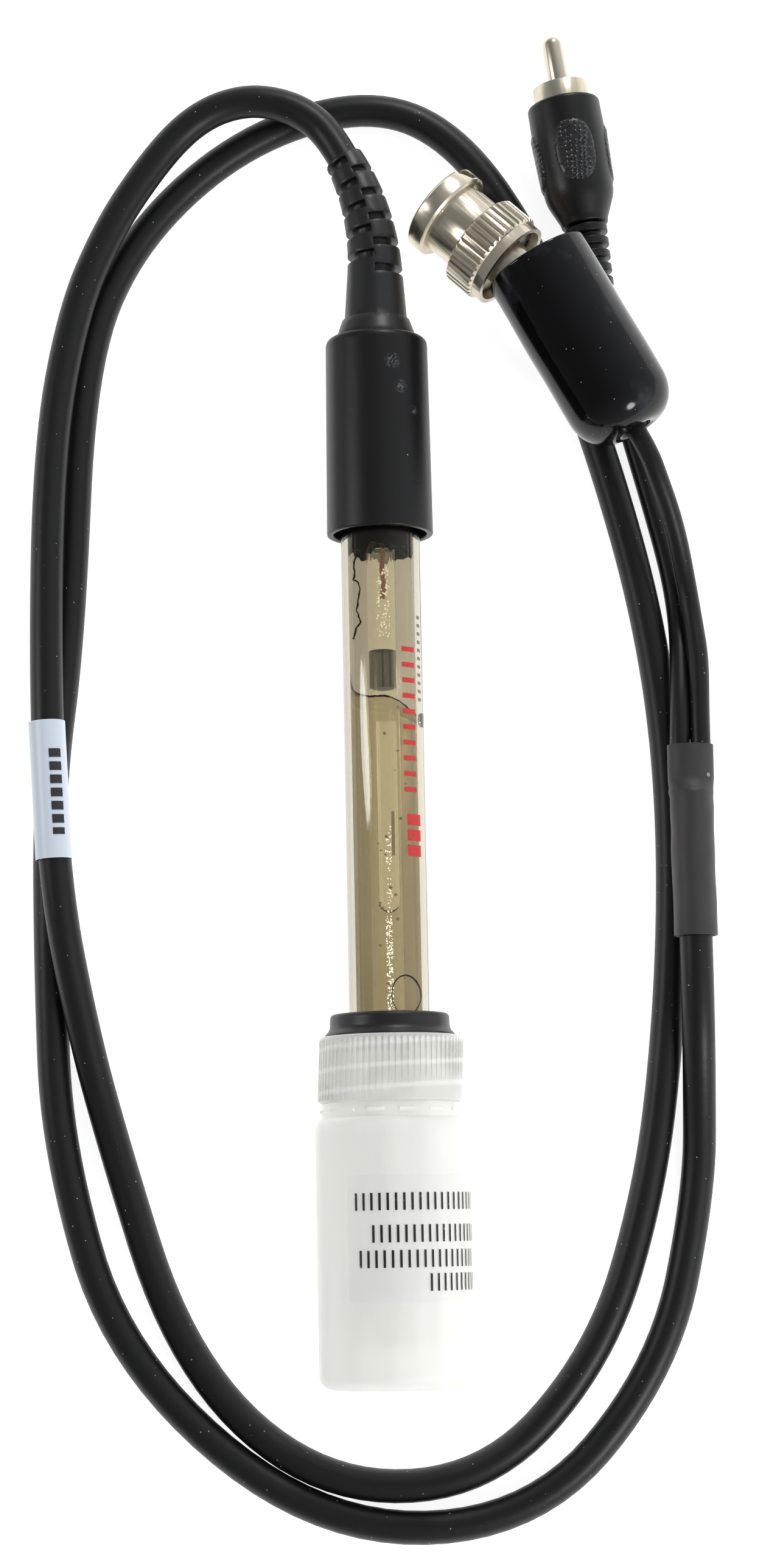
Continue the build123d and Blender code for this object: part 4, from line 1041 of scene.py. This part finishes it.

# %% [markdown]
# Dark lines lie on the wall: painted shade along the gel's torn edge, where its surface meets the
# wall, and a crack in the film above it. A painted texture could show them, but a curve that
# follows the round wall keeps its place from every side. It has a radius of its own at every point,
# so that it thins out like ink.

# %% Dark lines in the shaft
def ink_line(name, places, widths, surface, slot, *replaced):
    """A thin tapering line through places in millimetres, made into a mesh and seated."""
    line = nurbs_line(name, places, 0.5, 6, 2, widths)
    mesh = worked_out(line)
    bpy.data.objects.remove(line)
    for polygon in mesh.polygons:
        polygon.use_smooth = True
    return seat(new_object(name, mesh), surface, "electrode", slot, *replaced)


def on_wall(x, y):
    """A place on the upper half of the shaft's inner wall."""
    return (x, y, AXIS_HEIGHT + math.sqrt(max(0.0, 4.9 * 4.9 - x * x)))


# One dark material serves the crack, the arc on the cartridge's end, and the painted shade along
# the gel's torn edge and round the big bubble.
dark_line_and_painted_shade = Surface("dark line and painted shade", (0.012, 0.01, 0.008), 0.5).grained(1500, 0.02)
random.seed(7)
edge_places, edge_widths = [], []
for number in range(41):
    x = -4.85 + 9.6 * number / 40
    y = between(torn_edge, x) + random.uniform(-0.09, 0.09)
    edge_places.append(on_wall(x, y))
    edge_widths.append((0.34 if -3.6 < x < 0.8 else 0.2) * random.uniform(0.6, 1.2))
ink_line("torn_line", edge_places, edge_widths, dark_line_and_painted_shade, "gel")
crack_path = [(-4.3, 30.6), (-4.1, 29.2), (-4.4, 28.0), (-4.2, 26.6), (-4.55, 25.7)]
crack_path += [(-3.75, 25.2), (-3.5, 24.0), (-3.85, 22.6), (-4.1, 21.0), (-3.7, 19.6)]
crack_path += [(-3.6, 18.9), (-4.3, 18.2), (-4.5, 16.9), (-4.7, 16.7)]
crack_places, crack_widths = [], []
for (x1, y1), (x2, y2) in zip(crack_path, crack_path[1:]):
    for step in range(4):
        t = step / 4
        x, y = x1 + (x2 - x1) * t, y1 + (y2 - y1) * t
        crack_places.append(on_wall(x + 0.55 + random.uniform(-0.1, 0.1), y))
        crack_widths.append(random.uniform(0.14, 0.3))
ink_line("crack_line", crack_places, crack_widths, dark_line_and_painted_shade, "gel")

# %% [markdown]
# ## Crystals, glitter and bubbles
#
# Salt crystals sit over the stopper, a column of small bright flakes runs down the stem, and
# bubbles stick to the wall. A particle system could strew them, but a Geometry Nodes group gives
# the same result each run: points scattered in a box by a fixed seed, and on each a small ball
# with a size of its own.

# %% Scatter group
scatter, scatter_in = geometry_group(
    "Scatter in a Box",
    {
        "Box": "Vector", "Centre": "Vector", "Count": "Int", "Smallest": "Float",
        "Largest": "Float", "Flatness": "Float", "Seed": "Int",
    },
)


def vector_node(operation, one, two):
    inputs = {0: one, 1: two}
    return add_node(scatter, "ShaderNodeVectorMath", inputs, operation=operation).outputs[0]


def random_node(kind, inputs):
    """A random value for each point; the seed is the node's ninth input."""
    inputs = {**inputs, 8: scatter_in["Seed"]}
    return add_node(scatter, "FunctionNodeRandomValue", inputs, data_type=kind).outputs


corner = vector_node("MULTIPLY", scatter_in["Box"], (0.5, 0.5, 0.5))
other = vector_node("MULTIPLY", scatter_in["Box"], (-0.5, -0.5, -0.5))
spot = random_node("FLOAT_VECTOR", {0: other, 1: corner})[0]
points = geometry_node(scatter, "Points", Count=scatter_in["Count"])
there = vector_node("ADD", spot, scatter_in["Centre"])
spread = geometry_node(scatter, "SetPosition", Geometry=points, Position=there)
ball = geometry_node(scatter, "MeshIcoSphere", Radius=1.0, Subdivisions=2)
size = random_node("FLOAT", {2: scatter_in["Smallest"], 3: scatter_in["Largest"]})[1]
flat = math_node(scatter, "MULTIPLY", size, scatter_in["Flatness"])
sizes = add_node(scatter, "ShaderNodeCombineXYZ", {"X": size, "Y": size, "Z": flat}).outputs[0]
tumble = random_node("FLOAT_VECTOR", {0: (-0.6, -0.6, -3.0), 1: (0.6, 0.6, 3.0)})[0]
balls = geometry_node(
    scatter, "InstanceOnPoints", Points=spread, Instance=ball, Rotation=tumble, Scale=sizes
)
end_group(scatter, balls)


# %% [markdown]
# The balls are hardly a pixel wide, so what counts is their brightness. The flakes flash like
# mirrors in the photograph. Real mirrors of that size would only make the render noisy, so their
# flash is a painted glint: a light of their own. The crystals and the small bubbles glow a little
# as well, painted light in place of the light that reaches them through the walls.

# %% Crystals, glitter and bubbles
def scattered(name, surface, slot, **values):
    """A new piece made of balls scattered in a box; sizes in millimetres."""
    piece = new_object(name, bpy.data.meshes.new(name))
    grow(piece, scatter, surface, **values)
    return seat(piece, surface, "electrode", slot)


# The crystals, the flakes and the small bubbles glow: painted light, and on the flakes a painted
# glint.
crystal = Surface("crystal", (0.85, 0.84, 0.78), 0.1).glow((0.95, 0.93, 0.85), 1.1)
crystal.grained(3000, 0.02)
flake = Surface("flake", (0.9, 0.88, 0.8), 0.15).glow((0.93, 0.95, 0.97), 6.0)
flake.grained(4000, 0.02)
small_bubble = Surface("small bubble", (0.8, 0.76, 0.62), 0.1).glow((0.8, 0.76, 0.62), 0.25)
small_bubble.grained(900, 0.01)
scattered(
    "crystals", crystal, "stem_glass", Box=(1.9, 11.0, 1.0), Centre=(0.2, 22.6, 12.6),
    Count=120, Smallest=0.04, Largest=0.17, Flatness=0.6, Seed=1,
)
scattered(
    "glitter", flake, "stem_glass", Box=(0.9, 15.0, 0.3), Centre=(0.2, -33.0, 13.75),
    Count=260, Smallest=0.03, Largest=0.08, Flatness=0.3, Seed=5,
)
scattered(
    "sparse_glitter", flake, "stem_glass", Box=(0.8, 14.0, 0.3), Centre=(0.3, -18.5, 13.75),
    Count=70, Smallest=0.03, Largest=0.08, Flatness=0.3, Seed=9,
)
scattered(
    "bubbles", small_bubble, "gel", Box=(5.0, 40.0, 0.6), Centre=(0.8, -16.0, 14.9),
    Count=20, Smallest=0.08, Largest=0.28, Flatness=1.0, Seed=3,
)

# %% [markdown]
# ## Things inside the stem
#
# The reference cartridge is a glass tube with a round end, as thin as a hair. Seen through the
# shaft, the gel and the stem, refracting glass would turn black, because light passes too many
# walls. So its skin is alpha, and Layer Weight makes it denser where it is seen edge on.

# %% Cartridge
# The thin glass glows: painted light, in place of the light that the many walls keep from it.
thin_glass = Surface("thin glass", (0.5, 0.49, 0.42), 0.1).glow((0.8, 0.78, 0.66), 1.2)
edge_on = thin_glass.add("ShaderNodeLayerWeight", {"Blend": 0.5}).outputs["Facing"]
thin_glass.wire(thin_glass.ramp(edge_on, 0.45, 0.95, 0.12, 0.6), "Alpha").grained(900, 0.01)
cartridge = turned(
    "cartridge_shape",
    Axle((0.32, 0.0, AXIS_HEIGHT), (0, 1, 0)),
    [
        (0.0, -24.2), (0.5, -24.0), (1.05, -23.5), (1.3, -22.6), (1.35, 4.4, 0.2),
        (1.1, 4.4, 0.1), (1.05, -22.4), (0.8, -23.2), (0.4, -23.6), (0.0, -23.7),
    ],
    rounding=0.1,
    closed=False,
    sides=48,
)
seat(cartridge, thin_glass, "electrode", "stem_glass", "reference_cartridge")

# %% [markdown]
# A red copper lead comes down from the head into the crystals, and a brown wire stands in the
# cartridge. Both are slightly crooked, as hand-bent wires are. A dark arc follows the cartridge's
# round end. All three are drawn with the same thin line as the crack.

# %% Wires
lead_places = []
for number in range(18):
    across, height = 0.25 + 0.12 * math.sin(number), 11.9 + 0.1 * math.cos(number * 1.7)
    lead_places.append((across, 36.0 - 0.75 * number, height))
lead_widths = [0.72] * 15 + [0.8] * 3
ink_line("lead_shape", lead_places, lead_widths, copper_wire, "copper_wire", "lead_wire")
brown_places = [(0.95, -9.2 - 0.6 * n, 11.7 + 0.05 * math.sin(n)) for n in range(12)]
ink_line("brown_lead", brown_places, [0.42] * 12, brown_wire, "brown_wire", "reference_wire")
end_places, end_widths = [], []
for number in range(9):
    turn = math.radians(205 + 130 * number / 8)
    end_places.append((0.32 + 1.25 * math.cos(turn), -22.95 + 1.3 * math.sin(turn), 11.7))
    end_widths.append(0.08 + 0.2 * math.sin(math.pi * number / 8))
ink_line("cartridge_end", end_places, end_widths, dark_line_and_painted_shade, "gel")

# %% [markdown]
# A bubble that touches the wall shows as its outline only. A ball of air in the gel would be the
# true thing, but only its rim would show, so a dark ring that follows the wall is enough: painted
# shade of the rim. It is thicker on one side, where the rim turns away from the light.

# %% Big bubble
ring_places, ring_widths = [], []
for number in range(33):
    turn = math.tau * number / 32
    ring_places.append(on_wall(2.35 + 2.0 * math.cos(turn), -36.9 + 2.9 * math.sin(turn)))
    thicker = 0.1 * max(0.0, math.sin(turn + 0.3)) + 0.06 * max(0.0, math.cos(turn))
    ring_widths.append(0.13 + thicker)
ink_line("big_bubble", ring_places, ring_widths, dark_line_and_painted_shade, "gel")

# %% [markdown]
# The shaft is printed in red and, in smaller type, in grey. One sheet could carry it all, but the
# rows differ in size and colour, so each has a thin sheet on the tube and an ink of its own.

# %% Shaft print
SHAFT_PRINT, PRINT_STEPS = 6.03, 16
RED, GREY, WHOLE = (0.6, 0.03, 0.03), (0.16, 0.15, 0.13), (9.0, 9.0)
red_print = print_surface("red print", RED, rows=(2.35, 0.75), dashes=(9.0, 2.4))
stripe_ink = print_surface("stripe print", RED, rows=(2.3, 1.7), dashes=WHOLE)
grey_ink = print_surface("small print", GREY, rows=(1.25, 0.5), dashes=WHOLE)
shaft_prints = {
    "shaft_print": (red_print, (62, 38), (-6.8, 16.6)),
    "stripe_print": (stripe_ink, (58, 32), (-16.4, -9.8)),
    "small_print": (grey_ink, (31, 22), (7.1, 20.5)),
}
for name, (ink, angles, ends) in shaft_prints.items():
    sheet = wrapped_sheet(name, electrode, SHAFT_PRINT, PRINT_SKIN, angles, ends, PRINT_STEPS)
    seat(sheet, ink, "electrode", "smoked_plastic")

# %% [markdown]
# ## Boot
#
# The boot was dipped in liquid vinyl, so its skin is a little wavy and very glossy. Where the
# leads leave it, the closed end is drawn in to a dimple. A slow noise on the radius makes the
# waves while it is turned. They must be in the mesh, because a gloss shows the least wave.

# %% Boot
BOOT_RADIUS, LEAD_HOLE = 8.2, 1.62


def dipped(radius, angle, along):
    """A slow wave over the dipped skin."""
    a = math.radians(angle)
    wave = noise.noise(Vector((math.cos(a) * 1.1, math.sin(a) * 1.1, along * 0.12)))
    return radius + 0.09 * wave * min(1.0, radius / 8)


boot = turned(
    "boot_shape",
    boot_axle,
    [(7.2, 0.0, 0.3), (BOOT_RADIUS, 0.0, 0.4)]
    + [(BOOT_RADIUS, 1.5 + 1.5 * number, 0.0) for number in range(15)]
    + arc(3.2, 24.6, 5.0, 5.9, 0, 90, 12)
    + [(2.5, 30.3, 0.3), (2.1, 29.5, 0.3), (LEAD_HOLE, 29.3, 0.2), (LEAD_HOLE, 28.4, 0.3)]
    + [(4.0, 28.4, 0.0), (6.2, 27.2, 0.0), (7.2, 24.0, 0.0)],
    rounding=0.3,
    sides=144,
    steps=9,
    shape=dipped,
)
seat(boot, boot_vinyl, "electrode", "boot_vinyl", "boot")

# %% [markdown]
# ## BNC coupling nut
#
# The nut is turned brass, nickel plated, with two bayonet slots and a straight knurl. Booleans
# could cut them here, but would leave poor faces. The CAD has both already, so a copy of it with
# rounded edges keeps them exact.

# %% Nut
nut = rounded_copy("coupling_nut", 0.07)

# %% [markdown]
# ## Cinch plug
#
# The body and its ribbed relief are one soft moulding. The five ribs could be rings set on it, but
# then they would only touch the skin. Drawn in the profile by a loop, each a little smaller than
# the one before, they grow out of it.

# %% Cinch body
RIB_FLOOR, CINCH_HOLE, SHELL_SEAT = 2.2, 1.57, 4.34
ribs = []
for number in range(5):
    start, size = 31.4 + 2.1 * number, 3.35 - 0.13 * number
    ribs += [(size, start), (size - 0.04, start + 1.2)]
    ribs += [(RIB_FLOOR, start + 1.2), (RIB_FLOOR, start + 2.1)]
cinch_body = turned(
    "cinch_body_shape",
    cinch_axle,
    [
        (SHELL_SEAT, 11.1), (5.65, 11.1, 1.1), (5.75, 17.0, 2.0), (5.5, 24.5, 2.0),
        (5.3, 26.6, 1.5), (3.75, 30.2, 1.0), (3.6, 31.0, 0.2), (RIB_FLOOR, 31.0, 0.1),
        *ribs[:-1],
        (RIB_FLOOR, 41.7, 0.1), (CINCH_HOLE, 41.7, 0.1), (CINCH_HOLE, 38.1, 0.1), (0.0, 38.1),
        (0.0, 18.0), (SHELL_SEAT, 18.0, 0.1),
    ],
    rounding=0.18,
)
seat(cinch_body, black_moulding, "electrode", "black_moulding", "cinch_body")

# %% [markdown]
# The grip has three raised pads with a pebbled face, so that fingers don't slip. Each is a patch
# that follows the body's round and is lifted in its middle. Its pebbles are hundreds of small
# cells, which a Voronoi height in the material gives for nothing.

# %% Grip pads
PAD_ALONG, PAD_HALF_LENGTH, PAD_RADIUS, PAD_RINGS, PAD_SIDES = 20.3, 4.9, 5.63, 12, 64


def squarish(value):
    """Bend a cosine or a sine so that a circle becomes a rounded square."""
    return math.copysign(abs(value) ** (2 / 2.6), value)


def pad(name, angle, half_angle, lift):
    """A patch with a rounded outline that lies on the cinch body, lifted in its middle."""
    pad_maker = bmesh.new()
    rings = []
    for ring_number in range(PAD_RINGS + 1):
        share = ring_number / PAD_RINGS
        ring = []
        for number in range(PAD_SIDES if ring_number else 1):
            turn = math.tau * number / PAD_SIDES
            across = squarish(math.cos(turn)) * share
            length = squarish(math.sin(turn)) * share
            height = lift * min(1.0, (1 - share) * 6) - 0.06 - 0.16 * length
            along = PAD_ALONG + length * PAD_HALF_LENGTH
            place = cinch_axle.at(PAD_RADIUS + height, angle + across * half_angle, along)
            ring.append(pad_maker.verts.new(place * MM))
        rings.append(ring)
    bridge(pad_maker, rings)
    return finish_mesh(name, pad_maker)


grip_pad = Surface("grip pad", (0.01, 0.01, 0.011), 0.32)
inputs = {"Vector": grip_pad.place, "Scale": 1250.0, "Randomness": 0.3}
pebbles = grip_pad.add("ShaderNodeTexVoronoi", inputs, feature="F1").outputs["Distance"]
grip_pad.bump(grip_pad.ramp(pebbles, 0.15, 0.5, 1.0, 0.0), 0.16)
grip_pad.scuffed(260, 0.62, (0.3, 0.3, 0.3), 0.5).dusty(500, 0.05, 0.2)
pads = (("pad_top", 90, 35, 0.22), ("pad_left", 180, 28, 0.3), ("pad_right", 0, 28, 0.3))
for name, angle, half_angle, lift in pads:
    seat(pad(name, angle, half_angle, lift), grip_pad, "electrode", "black_moulding")

# %% [markdown]
# ## Heat-shrink sleeve
#
# The sleeve shrank over the split of the cord: flat and wide over the two leads, round over the
# cord, with a wrinkle where one form passes into the other. A Shrinkwrap modifier would cling to
# every gap. A rule of the angle and of the place along it keeps the skin taut, as it is.

# %% Sleeve
SLEEVE_RADIUS, OVER_CORD, LEADS_WIDE, LEADS_DEEP = 3.3, 3.28, 3.5, 2.25
sleeve_axle = Axle((46.2, 0.7, 7.9), (0, -1, 0))


def shrunk(radius, angle, along):
    """An oval over the leads that turns round over the cord, with a wrinkle between."""
    share = min(1.0, max(0.0, (along - 4.8) / 3.4))
    share = share * share * (3 - 2 * share)
    wide = LEADS_WIDE * (1 - share) + OVER_CORD * share
    deep = LEADS_DEEP * (1 - share) + OVER_CORD * share
    a = math.radians(angle)
    oval = wide * deep / math.hypot(deep * math.cos(a), wide * math.sin(a))
    wrinkle = 0.16 * math.exp(-(((along - 7.3) / 0.5) ** 2)) * (0.6 + 0.4 * math.cos(a - 0.6))
    dent = 0.1 * noise.noise(Vector((math.cos(a) * 1.5, math.sin(a) * 1.5, along * 0.25)))
    return (oval + wrinkle + dent) * radius / SLEEVE_RADIUS


sleeve = turned(
    "sleeve_shape",
    sleeve_axle,
    [(0.0, 0.5), (2.9, 0.5), (3.1, 0.0), (SLEEVE_RADIUS, 0.0)]
    + [(SLEEVE_RADIUS, 0.9 + 0.45 * number) for number in range(61)]
    + [(SLEEVE_RADIUS, 29.0), (3.05, 29.0), (2.6, 28.5), (0.0, 28.4)],
    rounding=0.12,
    closed=False,
    steps=3,
    shape=shrunk,
)
seat(sleeve, heat_shrink, "electrode", "heat_shrink", "heat_shrink_sleeve")

# %% [markdown]
# ## Cable label
#
# A printed paper flag is rolled round the cord and laps over itself, so its edge stands off a
# little. A turned sleeve whose radius grows by one sheet in a turn gives the lap. Where the real
# one has numbers, this one has plain bars.

# %% Label
LABEL_LINE = Vector((1.4, -29.0, 0.0))
LABEL_STEPS, LABEL_STEP, LABEL_PRINT = 31, 0.7, 2.86
label_axle = Axle(Vector((-50.5, -4.5, 8.5)) - LABEL_LINE.normalized() * 10.5, LABEL_LINE)


def lapped(radius, angle, along):
    """The roll grows by one sheet in a turn, with its seam underneath."""
    lap = ((angle + 70) % 360) / 360
    return radius + 0.14 * lap + 0.03 * noise.noise(Vector((angle * 0.02, 0, along * 0.15)))


label = turned(
    "label_shape",
    label_axle,
    [(2.7, LABEL_STEP * number) for number in range(LABEL_STEPS)]
    + [(2.56, 21.0 - LABEL_STEP * number) for number in range(LABEL_STEPS)],
    rounding=0.03,
    sides=120,
    steps=1,
    shape=lapped,
)
seat(label, label_paper, "electrode", "label_paper", "cable_label")
bar_ink = print_surface("label print", (0.02, 0.02, 0.03), rows=(2.0, 1.3), dashes=(9.0, 1.9))
label_print = wrapped_sheet(
    "label_print", label_axle, LABEL_PRINT, PRINT_SKIN, (98, 148), (4.5, 17.5), PRINT_STEPS
)
seat(label_print, bar_ink, "electrode", "label_paper")

# %% [markdown]
# ## Cords get their material and body
#
# The cord and its two leads may be laid anew later. Bones could bend them, but a new route needs
# only a spline, its real length, its thickness and its ends. The pieces that hang on each lead are
# listed.

seat(main_cord, cord_jacket, "electrode", "cord_jacket", "main_cord")
seat(cinch_lead, cord_jacket, "electrode", "cord_jacket", "cinch_lead")
seat(bnc_lead, cord_jacket, "electrode", "cord_jacket", "bnc_lead")
bnc_pieces = [boot, nut, "plug_body_rounded", "retaining_ring_rounded"]
bnc_pieces += ["seal_ring", "wave_washer", "bnc_insulator", "bnc_pin", "crimp_ferrule"]
cinch_pieces = [cinch_body, "pad_top", "pad_left", "pad_right"]
cinch_pieces += ["cinch_shell_rounded", "cinch_pin_rounded", "cinch_insulator"]

# %% [markdown]
# ## Floor and lights
#
# The electrode lay on a white sheet that the camera shows almost without a shade. A plain lit
# plane would need strong lamps, which would shine in the black pieces. So the floor glows a
# little, as a photographer's sweep does, and lights the black pieces from the sides.

# %% Floor
bpy.ops.mesh.primitive_plane_add(size=6.0)
floor = bpy.context.object
floor.name = "floor"
floor_surface = Surface("floor", (0.8, 0.8, 0.8), 0.9, Specular_IOR_Level=0.0)
floor_surface.glow((1.0, 1.0, 1.0), 0.85)
floor.data.materials.append(floor_surface.material)
print("floor made")


# %% [markdown]
# The highlights on the boot and the metal tell where the real lamps were: one to the right and
# below, one behind the head, and a long one at the left. Sun lamps would give hard dots, so soft
# area lights of their shapes stand there.

# %% Lights
def soft_light(name, place, size, power):
    """An area light at a place in metres, turned to the middle; its size is (across, along)."""
    data = bpy.data.lights.new(name, "AREA")
    data.shape = "ELLIPSE"
    data.size, data.size_y = size
    data.energy = power
    light = new_object(name, data)
    light.location = place
    light.rotation_euler = (-Vector(place)).to_track_quat("-Z", "Y").to_euler()
    return light


key_light = soft_light("key light", (0.42, -0.4, 0.42), (0.2, 0.2), 1.8)
fill_light = soft_light("fill light", (0.16, 0.6, 0.36), (0.15, 0.15), 1.3)
left_light = soft_light("left light", (-0.55, 0.1, 0.35), (0.05, 0.3), 0.8)
print("lights made")

# %% [markdown]
# The room round the table is brighter on one side, and the polished metal shows it. A photograph
# of a room could light the scene, but a plain slope of grey along one slanting line is enough for
# such small pieces.

# %% Room light
world = bpy.data.worlds.new("studio")
world.use_nodes = True
sky = world.node_tree
sky_place = add_node(sky, "ShaderNodeTexCoord").outputs["Generated"]
sky_side = add_node(sky, "ShaderNodeSeparateXYZ", {"Vector": sky_place}).outputs
slant = math_node(sky, "SUBTRACT", sky_side["X"], math_node(sky, "MULTIPLY", sky_side["Z"], 0.7))
inputs = {"Value": slant, "From Min": -1.2, "From Max": 0.6, "To Min": 0.16, "To Max": 0.85}
sky_strength = add_node(sky, "ShaderNodeMapRange", inputs).outputs["Result"]
sky.nodes["Background"].inputs["Color"].default_value = (0.95, 0.97, 1.0, 1.0)
sky.links.new(sky_strength, sky.nodes["Background"].inputs["Strength"])
bpy.context.scene.world = world
bpy.context.scene.view_settings.view_transform = "Standard"
print("room light made")
